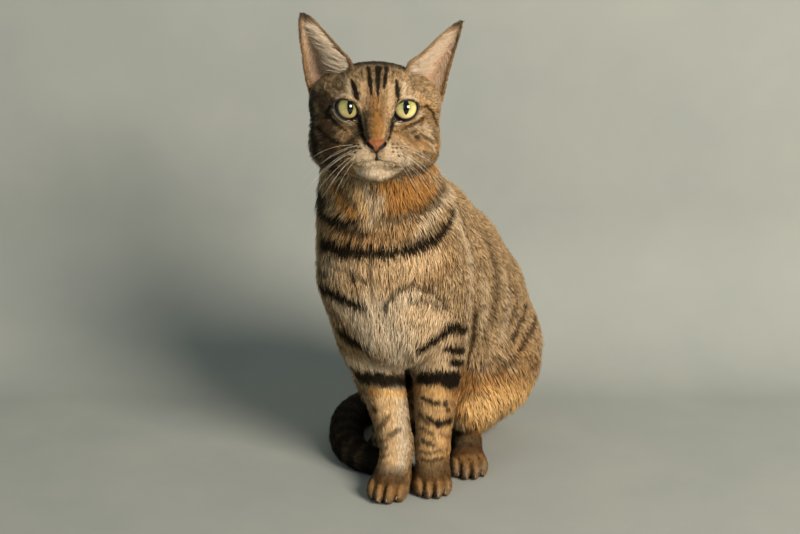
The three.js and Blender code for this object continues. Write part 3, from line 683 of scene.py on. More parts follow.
def lie_of(part, P, N, p):
    """which way the hair points at P on that part of the cat, before it is laid into the skin"""
    n = len(P)
    if part == "trunk": return np.tile(SPINE, (n, 1))
    if part == "rump": return np.tile([0.12, 0.40, -0.86], (n, 1))
    if part == "neck":
        x = (P[:, 0] + 15) / 50
        return np.column_stack([.55 * x, .25 + 0 * x, -1 + 0 * x])
    if part == "chest":
        x = (P[:, 0] + 8) / 50; k = step(232, 196, P[:, 2])
        return np.column_stack([x * (.35 - .95 * k), .05 + 0 * x, -1 + 0 * x])
    if part == "shoulder_r": return np.tile([0.12, 0.05, -1], (n, 1))
    if part == "shoulder_l": return np.tile([-0.10, 0.12, -1], (n, 1))
    if part == "thigh_l": return np.tile([0.10, 0.42, -0.85], (n, 1))
    if part == "thigh_r": return np.tile([0.10, 0.42, -0.85], (n, 1))
    if part == "head":
        q = to_head(P)
        d = q - np.array([0, -31, -21.0])
        back = step(-20, 30, q[:, 1])[:, None]
        d = unit(d) * (1 - .55 * back) + back * np.array([0, .8, -.35])
        cheek = (step(14, 34, np.abs(q[:, 0])) * step(12, -14, q[:, 2]))[:, None]
        d = d + cheek * np.array([0, .35, -.55])
        chin = (step(-36, -44, q[:, 2]))[:, None]
        d = d * (1 - chin) + chin * np.array([0, .75, -.66])
        return d @ HR.T
    if part.startswith("upper") or part.startswith("fore") or part.startswith("shank"):
        return np.tile(unit(p["b"] - p["a"]), (n, 1))
    if part.startswith("paw") or part.startswith("foot"):
        if p["kind"] == "C": return np.tile(unit(p["b"] - p["a"]) * .8 + np.array([0, -.5, 0]), (n, 1))
        f = -p["R"][:, 1]; f = np.array([f[0], f[1], -.25])
        return np.tile(f, (n, 1))
    if part == "tail": return np.tile(unit(p["b"] - p["a"]), (n, 1))
    return np.tile([0, .2, -1.0], (n, 1))


REGION = {"head": 0, "neck": 2, "chest": 2, "shoulder_r": 2, "shoulder_l": 2, "trunk": 3, "rump": 4, "thigh_l": 4, "thigh_r": 4,
          "shank_hl": 4, "shank_hr": 4, "foot_hl": 4, "foot_hr": 4, "upper_fr": 5, "fore_fr": 5, "paw_fr": 5, "upper_fl": 5,
          "fore_fl": 5, "paw_fl": 5, "tail": 6}
TAIL_FIRST = min(i for i, p in enumerate(PRIMS) if p["part"] == "tail")


def lay_of_the_land(V, N):
    """for every skin vertex: the lie of the coat, its depth, the part of the cat it is on, and where along the tail"""
    n = len(V)
    best = np.full(n, 900.0); which = np.zeros(n, int)
    wsum = np.zeros(n); lie = np.zeros((n, 3)); coat = np.zeros(n)
    D = np.full((n, len(PRIMS)), 1e3, np.float32)
    for i, p in enumerate(PRIMS):
        a, b = prim_box(p)
        idx = np.where(((V > a - 22) & (V < b + 22)).all(1))[0]
        if not len(idx): continue
        d = d_prim(V[idx], p, 1.0)
        D[idx, i] = d
        m = d < best[idx]
        best[idx[m]] = d[m]; which[idx[m]] = i
    for i, p in enumerate(PRIMS):
        idx = np.where(D[:, i] - best < 18)[0]
        if not len(idx): continue
        w = np.exp(-np.clip(D[idx, i] - best[idx], 0, 60) / 4.5)
        if p["part"] == "tail": w = np.where(PART_OF[which[idx]] == "tail", w, 0)
        lie[idx] += w[:, None] * lie_of(p["part"], V[idx], N[idx], p)
        coat[idx] += w * p["coat"]; wsum[idx] += w
    lie = unit(lie + 1e-6); coat = np.where(wsum > 1e-9, coat / np.maximum(wsum, 1e-9), 1.0)
    region = np.array([REGION[p["part"]] for p in PRIMS])[which]
    ear = np.zeros(n); inner = np.zeros(n); along_ear = np.zeros(n); across_ear = np.zeros(n)
    for side in EARS:
        kd, S, half = EAR_TREES[(side, 1.0)]
        idx = np.where(((V > S.min(0) - 6) & (V < S.max(0) + 6)).all(1))[0]
        R = EARS[side]; axis = unit(R[-1].mean(0) - R[1].mean(0)); e = R[1, 1] - R[1, 0]
        e = unit(e - axis * (e @ axis)); back = np.cross(axis, e); back = back if back[1] > 0 else -back
        for i in idx:
            co, k, dist = kd.find(V[i])
            w = 1 - min(1, max(0, (dist - half[k] - .5) / 3.5))
            if w <= 0: continue
            ear[i] = w; s = k // 90 / 129.0; t = (k % 90) / 89.0
            along_ear[i] = s; across_ear[i] = t
            inner[i] = w * (1 if (V[i] - np.array(co)) @ back < 0 else 0)
            if inner[i] > .5: lie[i] = lie[i] * (1 - w) + w * (axis * .75 + e * (1.15 - 1.3 * t))
            else: lie[i] = lie[i] * (1 - w) + w * (axis + e * (.5 * (t - .3)))
            coat[i] = coat[i] * (1 - w) + w * .85
    lie = lie - N * (lie * N).sum(1, keepdims=True)
    return unit(lie), coat, which, region, ear, inner, along_ear, across_ear


PART_OF = np.array([p["part"] for p in PRIMS])


def smooth(values, F, rounds):
    """average of a value over the mesh's neighbours"""
    E = np.vstack([F[:, [0, 1]], F[:, [1, 2]], F[:, [2, 0]]]); n = len(values)
    deg = np.bincount(E[:, 0], minlength=n) + np.bincount(E[:, 1], minlength=n)
    v = values.reshape(n, -1).astype(float)
    for _ in range(rounds):
        s = np.column_stack([np.bincount(E[:, 0], weights=v[E[:, 1], c], minlength=n) + np.bincount(E[:, 1], weights=v[E[:, 0], c], minlength=n)
                             for c in range(v.shape[1])])
        v = .3 * v + .7 * s / np.maximum(deg, 1)[:, None]
    return v.reshape(values.shape)


# ---------------------------------------------------------------- unwrap of the skin's own shape
def unwrap(V, F, label, pad=1.6):
    """corner coordinates in 0..1: each labelled part is laid out flat from its six sides, and the charts are packed"""
    c = np.cross(V[F[:, 1]] - V[F[:, 0]], V[F[:, 2]] - V[F[:, 0]])
    side = np.argmax(np.column_stack([c, -c]), 1)
    key = label.astype(np.int64) * 6 + side
    charts, inv = np.unique(key, return_inverse=True)
    uv = np.zeros((len(F), 3, 2)); boxes = []
    for j, k in enumerate(charts):
        s = k % 6; u, v = [(1, 2), (0, 2), (0, 1)][s % 3]
        m = inv == j; q = V[F[m]][..., [u, v]]
        lo = q.reshape(-1, 2).min(0)
        uv[m] = q - lo + pad
        boxes.append(q.reshape(-1, 2).max(0) - lo + 2 * pad)
    boxes = np.array(boxes); order = np.argsort(-boxes[:, 1])

    def shelves(S):
        x = y = h = 0.0; at = np.zeros((len(boxes), 2))
        for j in order:
            w, t = boxes[j]
            if w > S: return None
            if x + w > S: y += h; x = h = 0.0
            if y + t > S: return None
            at[j] = (x, y); x += w; h = max(h, t)
        return at
    S = math.sqrt(boxes.prod(1).sum())
    at = shelves(S)
    while at is None: S *= 1.02; at = shelves(S)
    return (uv + at[inv][:, None]) / S



# ---------------------------------------------------------------- markings, with painted shade and painted light among them: dark, warm and pale, in the shape's frame
STRIPES, PATCHES = [], []
TAIL_LINE = np.array([p["a"] for p in PRIMS if p["part"] == "tail"])[::3]


def noise3(P, s, seed):
    """smooth value noise, -1 to 1"""
    Q = P / s + seed * 17.17; I = np.floor(Q).astype(np.int64); f = Q - I; f = f * f * (3 - 2 * f); out = 0
    for i in (0, 1):
        for j in (0, 1):
            for k in (0, 1):
                h = ((I[:, 0] + i) * 73856093) ^ ((I[:, 1] + j) * 19349663) ^ ((I[:, 2] + k) * 83492791) ^ (seed * 2654435)
                h = (h ^ (h >> 13)) * 1274126177 & 0x7fffffff
                w = (f[:, 0] if i else 1 - f[:, 0]) * (f[:, 1] if j else 1 - f[:, 1]) * (f[:, 2] if k else 1 - f[:, 2])
                out = out + w * ((h & 0xffff) / 32767.5 - 1)
    return out


def marks_with_painted_shade_and_light(P):
    """dark, warm, pale: 0 to 1 each"""
    n = len(P)
    D, O, W = np.zeros(n), np.zeros(n), np.zeros(n)
    wob = noise3(P, 9, 3); fine = noise3(P, 3.2, 5)
    for kind, c, r, amount, soft in PATCHES:
        c, r = np.array(c, float), np.array(r, float)
        idx = np.where((np.abs(P - c) < r * (1 + soft) + 3).all(1))[0]
        if not len(idx): continue
        d = np.sqrt((((P[idx] - c) / r) ** 2).sum(1)) + .12 * wob[idx]
        m = amount * (1 - step(1 - soft, 1 + soft, d))
        A = (D, O, W)["dwp".index(kind)]
        A[idx] = np.maximum(A[idx], m) if amount > 0 else A[idx] * (1 + m)
    for kind, pts, width, amount, soft in STRIPES:
        pts = np.array(pts, float); w = np.broadcast_to(np.array(width, float), len(pts)) if np.ndim(width) == 0 else np.array(width, float)
        R = w.max() * (1 + soft) + 2.5
        lo, hi = pts.min(0) - R, pts.max(0) + R
        idx = np.where(((P > lo) & (P < hi)).all(1))[0]
        if not len(idx): continue
        d, t = poly_gap(P[idx], pts)
        ww = np.interp(t * (len(pts) - 1), np.arange(len(pts)), w)
        e = d / ww + .27 * fine[idx] + .26 * wob[idx] * np.minimum(1, ww / 4)
        m = amount * (1 - step(1 - soft, 1 + soft, e))
        A = (D, O, W)["dwp".index(kind)]
        A[idx] = np.maximum(A[idx], m) if amount > 0 else A[idx] * (1 + m)
    # the tail: near black above with rings, browner between them, black towards the tip; the near black is partly dark
    # fur, partly painted shade
    idx = np.where((P[:, 2] < 66) & ((P[:, 1] > 172) | (P[:, 0] < 16)) & (P[:, 0] < 82))[0]
    if len(idx):
        d, t = poly_gap(P[idx], TAIL_LINE)
        s = t * 400 + 5 * wob[idx]
        ring = .5 + .5 * np.cos(2 * np.pi * s / 27)
        on = step(24, 20, d) * step(0, .06, t)
        dark = np.maximum(.90 + .10 * step(.2, .5, ring), step(.80, .90, t))
        D[idx] = np.maximum(D[idx], on * dark)
    return np.column_stack([D, O, W])



# ---------------------------------------------------------------- the markings: tabby lines laid on the body, with painted shade and painted light among them, millimetres
STRIPES += [
    ("p", [(-53.5, -34.8, 343.2), (-50.3, -39.4, 337.7), (-45.7, -39.9, 332.3), (-38.8, -38.4, 328.1)], 2, 0.85, 0.4),
    ("p", [(-49.5, -36.5, 347.4), (-44.9, -36.2, 351.2), (-38.6, -38.8, 350.8)], 1.4, 0.75, 0.4),
    ("p", [(-1.6, -38.6, 329), (6.2, -36.5, 328.6), (13.2, -34.3, 331.4), (16.3, -32.4, 335.8)], 2, 0.85, 0.45),
    ("p", [(3.9, -37.1, 349), (9.3, -34.5, 348.6), (14, -32.8, 345.2)], 1.7, 0.9, 0.4),
    ("p", [(-27.8, -37.2, 359.9), (-28.5, -40.4, 351.9), (-29.3, -41.6, 343.5)], 2.2, 0.36, 0.4),
    ("w", [(-27.8, -37.2, 359.9), (-28.5, -40.4, 351.9), (-29.3, -41.6, 343.5)], 2.6, 0.3, 0.5),
    ("p", [(-6.9, -36.7, 358.3), (-7, -39.1, 352.7), (-6.9, -39.9, 347.1), (-5.4, -41, 338)], 2.5, 0.44, 0.4),
    ("w", [(-6.9, -37.1, 357.6), (-6.9, -39.6, 349.4), (-6.9, -40.9, 341.1)], 3.1, 0.3, 0.5),
    ("p", [(-38.7, -33.2, 360.1), (-39.4, -36.5, 354.4), (-38.6, -39.2, 350.1)], 2, 0.5, 0.4),
    ("p", [(3.1, -31.5, 358.3), (3.1, -36.8, 349.8)], 2.2, 0.5, 0.4),
    ("p", [(9.3, -29.7, 353.3), (17.1, -27.8, 346.8)], 2.3, 0.2, 0.5),
    ("w", [(-22.3, -40.3, 355), (-22.3, -42.6, 347.6), (-22.3, -45.8, 340.3)], 2.3, 0.5, 0.5),
    ("w", [(-18.5, -41.9, 350.6), (-17.7, -44.6, 343.2), (-17.7, -49.8, 336.3)], [3.5, 4.3, 4.9], 0.75, 0.6),
    ("d", [(-17.7, -47.6, 339.1), (-17.6, -53.1, 332.2), (-17.6, -58.5, 325.5)], [3.8, 5, 5], 0.13, 0.7),
    ("w", [(-17.7, -47.6, 339.1), (-17.6, -51.4, 334.3), (-17.6, -55.8, 328.9), (-17.5, -62.2, 321.5)], [2.6, 4.3, 5.8, 6.6], 0.92, 0.6),
    ("d", [(-21.6, -40.9, 353.5), (-22.3, -43.6, 344.6), (-21.5, -49.3, 336.3)], [2, 2.8, 2.2], 0.42, 0.7),
    ("d", [(-13.9, -41.8, 349), (-13.1, -44.1, 341.6), (-14.6, -50, 334.8)], [1.8, 2.3, 1.8], 0.36, 0.7),
    ("d", [(-26.2, -46.6, 334.2), (-26.2, -49.6, 325.4), (-23.7, -60.9, 319.7)], [2.3, 2.6, 1.7], 0.6, 0.7),
    ("d", [(-9.3, -44.4, 330.8), (-10.1, -38.6, 322.7), (-11.5, -57.4, 319.8)], [1.7, 2, 1.4], 0.48, 0.7),
    ("w", [(-12.3, -41.8, 347.4), (-10.8, -44, 338.5)], 2.3, 0.3, 0.4),
    ("w", [(26.8, -24.7, 311.5), (29.4, -15.8, 303.4), (25.3, -20.5, 297.8)], [2.4, 3.6, 3.6], 0.7, 0.5),
    ("p", [(3.1, -34.2, 323.5), (8.7, -34.3, 325), (14, -33.1, 325.7), (23.5, -28.9, 321.8)], [1.9, 1.9, 1.9, 2], 0.35, 0.5),
    ("p", [(18.7, -32.7, 319.3), (25.1, -27, 311.9), (28.5, -18.8, 303.9)], [2.3, 3.1, 2.4], 0.45, 0.5),
    ("w", [(0, -33.7, 319.5), (4.7, -34.7, 316.3), (9.4, -34.9, 313.3), (18.8, -31.6, 309.6)], [3.9, 4.3, 4.7, 4.7], 0.6, 0.6),
    ("w", [(2.3, -35.5, 326.1), (9.3, -35.1, 328.4), (17.9, -30.1, 331.4)], [2.3, 3.1, 2.3], 0.8, 0.5),
    ("w", [(15.6, -30.2, 345.6), (20.6, -27.4, 340.7), (25.1, -24.1, 335.2), (27.8, -20.4, 327.7)], 4.7, 0.5, 0.6),
    ("w", [(-37.3, -38.7, 315.6), (-42, -36.3, 321.5), (-46.6, -36.8, 324.7)], [3.9, 3.9, 3.1], 0.4, 0.6),
    ("p", [(-1.6, -37.4, 315.4), (7.8, -34.8, 311.7), (13.2, -33.7, 310), (18.8, -31.1, 307.9)], [3.1, 3.9, 3.5, 3.1], 0.32, 0.5),
    ("d", [(7.8, -34.6, 325.9), (12.5, -34.4, 321.9), (7.8, -35, 319.7)], [1.9, 2.3, 1.6], 0.5, 0.55),
    ("w", [(3.2, -9.7, 279.4), (8.8, -6.9, 279.4), (14.5, -2.7, 279.6), (20.2, 4.4, 281.1), (26.5, 32.8, 279)], [4, 4.4, 4.8, 4.9, 5], 0.75, 0.5),
    ("w", [(-46.8, -37, 307.4), (-40, -56.3, 303.3), (-37.4, -43.3, 292.8)], [6.2, 6.2, 6.2], 0.55, 0.5),
    ("p", [(-29.1, -60.1, 314.1), (-26, -63.7, 307.8)], 5.7, 0.5, 0.4),
    ("p", [(-9.2, -60.4, 313.4), (-1.5, -60.6, 307.2)], [5.4, 6.1], 0.54, 0.4),
    ("p", [(-36.8, -61.1, 305.8), (-29.1, -63.4, 303.9), (-23.5, -62.7, 302.7), (-17.6, -61.5, 302), (-12.1, -62.4, 302.8), (-6.9, -62.5, 303.7), (1.5, -57.6, 303.5)], [3.8, 4.6, 4.2, 3.8, 4.2, 4.6, 3.8], 0.6, 0.45),
    ("p", [(0, -57.8, 301.2), (7.8, -34.9, 299.1)], 3.8, 0.7, 0.4),
    ("p", [(-32.4, -53.8, 294.9), (-25.1, -58.9, 294.5), (-17.7, -59.8, 293.8), (-9.7, -56.9, 294.1), (-1.6, -43.9, 292.9)], [5.4, 6, 6.5, 6, 5.4], 1, 0.35),
    ("p", [(9.4, -35, 315), (3.1, -34.4, 318), (-1.5, -46.2, 315.4)], 3.1, 0.35, 0.5),
    ("w", [(-9.6, -12.1, 271.8), (-2.9, -9.9, 267.5), (4, -7.1, 264.1), (11.6, -3.2, 263.6), (19.5, 2.8, 263.6)], [8.8, 9.6, 10.5, 9.7, 8.9], 1, 0.4),
    ("w", [(-6.4, -9.5, 254.8), (1.7, -7.7, 254.4), (9.7, -4.6, 255.3), (17.1, 0.3, 260.1), (24.4, 8.7, 265.6)], [7.2, 7.3, 7.3, 6.9, 6.5], 0.9, 0.5),
    ("p", [(-32.1, -10.6, 269.8), (-30.6, -9.7, 264.1), (-29, -9.1, 257.9), (-27.1, -8.8, 250.7), (-25, -9.3, 243.1)], [5.6, 6, 6.4, 4.8, 3.2], 0.76, 0.55),
    ("p", [(-13.6, -11.7, 266.7), (-17.7, -10.3, 256.6), (-20.5, -9.8, 250.1), (-23.4, -9.5, 243.2)], [4, 4, 3.4, 2.8], 0.45, 0.55),
    ("w", [(-35.3, -10, 271.3), (-32.9, -8.9, 263.5), (-30.6, -8.4, 256.1), (-28.6, -8.5, 250.2), (-26.6, -8.9, 244.7)], [4.8, 4.8, 4.8, 4, 3.2], 0.7, 0.5),
    ("d", [(-57.4, 9.3, 238.7), (-50.8, 2.4, 236.9), (-44.7, -1.9, 235.5), (-35.6, -6.4, 239.1)], [2.5, 2.4, 2.4, 1.6], 0.5, 0.6),
    ("w", [(-57.5, 9.5, 229.4), (-48.7, 1, 228), (-39, -4.8, 227), (-30.5, -7.9, 227.6), (-21, -9.9, 228.8), (-12.1, -10.6, 230.1), (-4.5, -10.1, 231.9), (2.6, -8.8, 233.9), (9.7, -6.6, 235.8)], [6.6, 6.5, 6.5, 6.5, 6.5, 6.5, 6.2, 5.9, 5.7], 0.42, 0.5),
    ("p", [(12.2, -5.9, 230.6), (17.5, -3.1, 235.6), (22.8, 0.9, 240.7), (27.8, 6.5, 246.4), (32.8, 15.1, 251.6), (38.2, 32.7, 254.1), (43.9, 53.8, 255.9)], [3.7, 3.7, 3.7, 3.7, 3.7, 3.7, 3.8], 0.6, 0.45),
    ("w", [(-39.4, -0.6, 193.8), (-31.7, -4.4, 194.6), (-24.1, -7.3, 195.2), (-16.3, -9, 196.1), (-8.1, -9.8, 198.1), (0.2, -9.5, 200.5), (8.1, -8, 202.6), (15.5, -5.6, 204.2), (22.5, -2.1, 205.5), (29.5, 1.6, 206.8)], [14.8, 15.3, 15.8, 16.3, 16.8, 17.4, 17.9, 16.9, 15.8, 14.8], 0.45, 0.55),
    ("p", [(-44.8, 5.8, 168), (-37.8, 2.3, 162.3), (-31.4, -1.5, 156.3), (-27, -2.3, 148.2), (-23.2, -0.9, 138.8)], [11.6, 12.8, 14, 13.6, 13.3], 0.88, 0.6),
    ("p", [(3.3, -9.4, 177.6), (8.4, -9.1, 168.4), (13.2, -7.8, 158.3), (15.6, -5.8, 150), (17.8, -2.2, 140.6), (20, 4.4, 130.1)], [13.1, 14.8, 16.4, 15.9, 15.5, 15], 0.82, 0.6),
    ("p", [(-22.9, -6.9, 187.1), (-20.9, -7.1, 179.2), (-19, -7.6, 171.5), (-16.4, -8.3, 163.6), (-13, -8.3, 155.1), (-9, -7.2, 146.1), (-5, -4.4, 136.5)], [9.8, 11.5, 13.1, 14.8, 15.4, 15.9, 16.6], 0.88, 0.6),
    ("p", [(-40.1, 28.1, 110.6), (-32.2, 22.3, 111), (-25.4, 19.8, 111.3), (-17.8, 18.5, 111.6), (-10.1, 18.3, 111.4)], [7.2, 7.6, 7.6, 7.6, 7.6], 1, 0.55),
    ("p", [(15.3, 25.4, 109.9), (23.1, 20.9, 111), (30.5, 19.4, 111), (36.6, 19.8, 110.1), (42.4, 21.6, 108.5)], [6.8, 6.8, 6.8, 6.4, 5.9], 0.85, 0.55),
    ("p", [(-54.5, 7.8, 196.6), (-47.4, 3.1, 196), (-39.4, -0.9, 195.6), (-32.1, -4.5, 196.1), (-24.1, -7.5, 196.9), (-16.3, -9.2, 197.9), (-6.1, -9.9, 200.1), (4.1, -8.9, 202.9), (11.3, -7.1, 204.9), (18.7, -4, 207.1), (26.2, 0.1, 208.9)], [9.9, 11.5, 13.1, 12.8, 12.5, 12.2, 13, 13.8, 12.8, 11.7, 10.6], 0.68, 0.6),
    ("w", [(-45.9, 10.6, 154.4), (-44.1, 13.1, 144.6), (-42.3, 16.3, 134.6), (-40.5, 20, 125.1), (-38.2, 24.8, 113.3), (-35.9, 28.8, 102.5)], [13.3, 14, 14.6, 15.2, 12.7, 10.2], 0.22, 0.6),
    ("w", [(20.6, -5.6, 163.6), (24.6, -2.7, 153.8), (28.7, 3.2, 143), (31.9, 11.9, 132.1), (33.5, 17.3, 121), (33.9, 19.3, 112)], [16.5, 16.5, 16.6, 16.8, 15.2, 13.5], 0.36, 0.6),
    ("p", [(23.1, -4.5, 164.2), (26.2, -2, 155.1), (29.4, 2.8, 145.2), (31.8, 10, 135.3), (32.5, 16, 124.1), (32.1, 18.7, 114.8)], [13.2, 13.5, 13.8, 14.2, 13.1, 11.8], 0.86, 0.6),
    ("p", [(-19.7, -7.4, 171.9), (-16.2, -8.3, 162.9), (-12.3, -8.2, 153.2), (-9, -7, 145.5), (-5.2, -4.5, 136.8), (-1.7, -0.3, 128.2), (2.8, 51.5, 101.7), (7.1, 79.9, 83.2)], [3.3, 5.3, 7.4, 8.2, 9.1, 10, 9.1, 8], 1, 0.6),
    # pale edge of the left upper arm along the crease behind the shoulder: partly paler fur, partly painted light on
    # the lit arm edge
    ("p", [(41.8, 41.2, 253.4), (42.9, 31.4, 246), (44.8, 26, 237.3), (47.4, 24.7, 229.9), (50.7, 25.6, 221.7), (53.4, 28.1, 213.6), (55.8, 30.3, 204.2), (57, 28.8, 196.2), (57.7, 25.2, 188), (57.8, 23, 178.6), (57.3, 23.7, 170.9), (56.4, 24, 162.7), (55.6, 24.2, 154.7), (55.1, 25.2, 146.5), (54.8, 26.5, 138.3), (54.3, 27.9, 130.5), (53.3, 29, 120.3), (52, 28.6, 111.5), (50, 27.6, 104.4), (47.8, 27.3, 97.6)], [4.2, 4.2, 4.1, 4.3, 4.4, 4.5, 4.5, 4.5, 4.4, 4.2, 4, 3.9, 3.7, 3.6, 3.5, 3.4, 3.2, 3.1, 2.8, 2.6], 0.46, 0.7),
    ("p", [(-6.8, 20.5, 85.6), (-6.2, 18.4, 75.4), (-5.5, 16.5, 65.1), (-5.1, 14.8, 55.1), (-5.2, 12.8, 45.9), (-5.6, 9.5, 37.7), (-6, 4.6, 30)], [13.6, 13.3, 13.1, 12.8, 12.5, 12.2, 11.9], 0.95, 0.4),
    ("w", [(-13.6, 19, 84.3), (-13.3, 17.7, 74.5), (-13.1, 16.8, 64.5), (-12.8, 16.3, 54.6), (-12.5, 15.9, 44.8), (-12.3, 12.8, 36.4), (-11.9, 6.6, 29.2)], [11.9, 11.4, 10.8, 10.2, 10.3, 10.3, 10.2], 0.62, 0.55),
    ("w", [(32.3, 19.4, 86), (32.1, 18.2, 75.4), (32, 17, 64.9), (31.6, 15.9, 54.7), (30.9, 14, 45.5), (29.9, 11.4, 36.9), (29, 8.8, 28.3)], [18.7, 17.6, 16.5, 15.4, 14.8, 14.2, 13.7], 0.8, 0.4),
    ("p", [(28.9, 19.5, 85.9), (29, 18.2, 75.5), (29.2, 16.9, 64.9), (29, 15.7, 54.8), (28.4, 13.8, 45.5), (27.4, 11.3, 36.9), (26.5, 8.8, 28.3)], [11.9, 11.6, 11.4, 11.1, 10.5, 10, 9.4], 0.7, 0.55),
    ("w", [(-28, 37.6, -3.9), (-19.6, -10.3, 14), (-12.7, -10.8, 12.8), (-6.9, -13.7, 14.6), (-1.7, -10.1, 14.3)], [10.5, 11, 11.8, 10.9, 10.1], 0.85, 0.5),
    ("w", [(12.8, 5.9, 13.1), (19.1, 2.5, 13.2), (25.5, -0.7, 14), (32.3, 0.4, 15), (39.3, 5.8, 14.9)], [10.3, 11.1, 11.9, 11.1, 10.2], 0.85, 0.5),
    ("w", [(48.5, 51.5, 16.7), (54.8, 45.3, 16.6), (61.4, 43.8, 16), (68.5, 48.5, 17.2), (78.8, 104.8, -0.7)], [10.6, 11.4, 12.3, 11.4, 11], 0.85, 0.5),
    ("d", [(-28.2, 46.8, -1.2), (-19.7, -1.1, 17.7), (-12.7, -5.9, 18.9), (-1.7, -4.7, 18.4)], [10.6, 10.2, 10.2, 10.2], 0.7, 0.6),
    ("d", [(-29.3, 15, -1.9), (-20.5, -16.6, 9.8), (-12.6, -18, 9.5), (-5.4, -15.6, 9.9), (1.7, -13.5, 11.2)], [10.3, 10.1, 10.1, 10.1, 10.1], 0.36, 0.6),
    ("d", [(12.9, 15.3, 15.6), (19.2, 6.8, 18.4), (25.6, 4.4, 19.1), (32.4, 5.6, 19.8), (39.4, 11.3, 19.1)], [10.3, 10.2, 10.2, 10.2, 10.3], 0.7, 0.6),
    ("d", [(11.2, 17.9, -0.3), (18.2, -3.2, 7.9), (25.4, -8.1, 9.8), (33, -7.3, 11), (40.8, -0.7, 10.3)], [10.4, 10.2, 10.2, 10.2, 10.2], 0.32, 0.6),
    ("d", [(46.1, 113.3, -1.1), (52.2, 56.9, 20.9), (60, 54.6, 22.1), (68.4, 63, 20.5), (80.1, 128.2, -3)], [11.1, 10.6, 10.6, 10.7, 11.2], 0.7, 0.6),
    ("d", [(45.6, 43.2, 10.7), (52.3, 39.9, 10.6), (59.4, 36, 11.7), (68, 39.2, 12.8), (79.4, 81.4, -1)], [10.5, 10.5, 10.5, 10.5, 10.8], 0.4, 0.6),
    ("w", [(60.8, 43.4, 68.3), (70.4, 45, 67.6), (80.4, 52.1, 65.1), (91.2, 67.6, 60.5), (102, 83.3, 55.7), (124.4, 244.3, -3.3), (134, 240.3, -3.2)], [20.8, 22.6, 24.5, 24.8, 25, 25.1, 22], 1, 0.5),
    ("w", [(56.1, 92.6, 27.4), (66.7, 86.4, 25.9), (81.7, 159.6, -0.1)], [8.1, 8.1, 8.6], 1, 0.5),
    ("p", [(50.9, 52.1, 46.5), (57.7, 48.1, 46.8), (64.7, 48.6, 46), (72, 53, 45), (84.7, 147.6, 10.5)], [7, 7.4, 7.9, 7.9, 8.5], 0.85, 0.6),
    ("w", [(54.1, 52.9, 79.6), (61.1, 50.7, 79.4), (67.9, 50.3, 78.7), (74.2, 51.6, 77.3), (80.4, 54.7, 75.2)], [7, 7.4, 7.8, 7.4, 7], 0.9, 0.6),
    ("d", [(52.3, 51.5, 76.4), (60.8, 45.8, 72.9), (66.7, 46, 72.5), (73.1, 48.4, 72)], [2.6, 3.5, 3, 2.6], 0.35, 0.7),
    ("p", [(67.8, 42.8, 61.1), (76.9, 48.2, 60.9), (86.3, 61.6, 57.9), (95.5, 76.4, 55.2), (104.1, 87.5, 54.2), (124.9, 251.6, -1.9), (134.9, 275.9, -7.4)], [13.9, 16.1, 18.5, 18.7, 18.8, 18.1, 15.3], 0.97, 0.6),
    ("w", [(50.5, 45.2, 60.2), (55.6, 43.4, 57.3), (60.9, 43.4, 53.5), (67.2, 48.1, 47.2), (80, 162.4, -1.2)], [8.7, 9.6, 10.4, 10.5, 11.4], 1, 0.4),
    ("w", [(106, 78.5, 106.1), (109.1, 80.6, 97.3), (112.4, 85.1, 87.6), (116.7, 94.7, 77.2), (141.9, 297.9, -1.2), (149.2, 287.4, -5)], [12.4, 13, 13.7, 14.4, 15.5, 14.4], 0.35, 0.6),
    ("d", [(-16.7, -24.2, 369.7), (-17.4, -36.1, 362.1), (-17.2, -39.3, 357.2), (-16.9, -41.3, 352)], [3.3, 2.5, 1.8, 1.2], 1, 0.4),
    ("d", [(-16.9, -41.1, 352.8), (-17.3, -43.4, 345.8), (-17.7, -47.6, 339.1)], [1.1, 0.9, 0.8], 0.5, 0.3),
    ("d", [(-24.9, -24, 369.7), (-23.3, -36.2, 362.1), (-22.6, -39.2, 357.5), (-22, -41.1, 352.8)], [2, 2.5, 1.8, 1.1], 1, 0.42),
    ("d", [(-10.5, -22.3, 369.4), (-11.6, -34.7, 362.7), (-12.3, -39.1, 356.3)], [2.5, 1.9, 0.9], 1, 0.42),
    ("d", [(-37.5, -32.5, 361.6), (-35.5, -36.7, 357.1), (-33.9, -39, 352.4), (-32.8, -40.4, 347.6)], [1.1, 2.3, 2.6, 1.2], 1, 0.42),
    ("d", [(-3.1, -32.5, 361.6), (-2.1, -35.7, 356.6), (-1.5, -37.3, 352.2), (-1.2, -38.9, 347.4)], [1.1, 2.2, 2.3, 1.1], 1, 0.42),
    ("d", [(-43.7, -21.5, 364.7), (-43.4, -31.6, 358.3), (-46.5, -33.8, 352.4)], [1.9, 1.4, 0.9], 0.6, 0.5),
    ("d", [(6.2, -20.7, 366.1), (8.6, -25.4, 359), (10.9, -29.6, 351.8)], [1.7, 1.2, 0.9], 0.6, 0.5),
    ("d", [(-54.5, -28.8, 351.6), (-48.9, -29.8, 354.9), (-43.3, -34.6, 354.1)], [2, 1.9, 1.1], 0.55, 0.6),
    ("d", [(9.3, -28.6, 354.7), (15.6, -25, 352.6), (23.5, -22.4, 347.5)], [1.2, 1.4, 1.3], 0.45, 0.6),
    # the right eye's tear line, widened into a dark band beside the nose: partly dark fur, partly painted shade
    ("d", [(-31.7, -41.9, 334.2), (-30.6, -40.4, 326.9), (-29.5, -39, 320.4), (-26, -59.9, 317.2)], [2.5, 3.3, 3, 1.8], 1, 0.45),
    ("d", [(-4.6, -40.5, 333.2), (-6.2, -39.4, 326.8), (-7.4, -37.6, 320.1), (-9.2, -53.3, 318.3)], [1.9, 2.2, 1.7, 1.1], 1, 0.4),
    ("d", [(15.5, -33.5, 340.6), (21.1, -27.2, 340.4), (25.1, -24.1, 335.2), (28.4, -20, 325)], [1.4, 1.8, 1.9, 1.9], 0.95, 0.4),
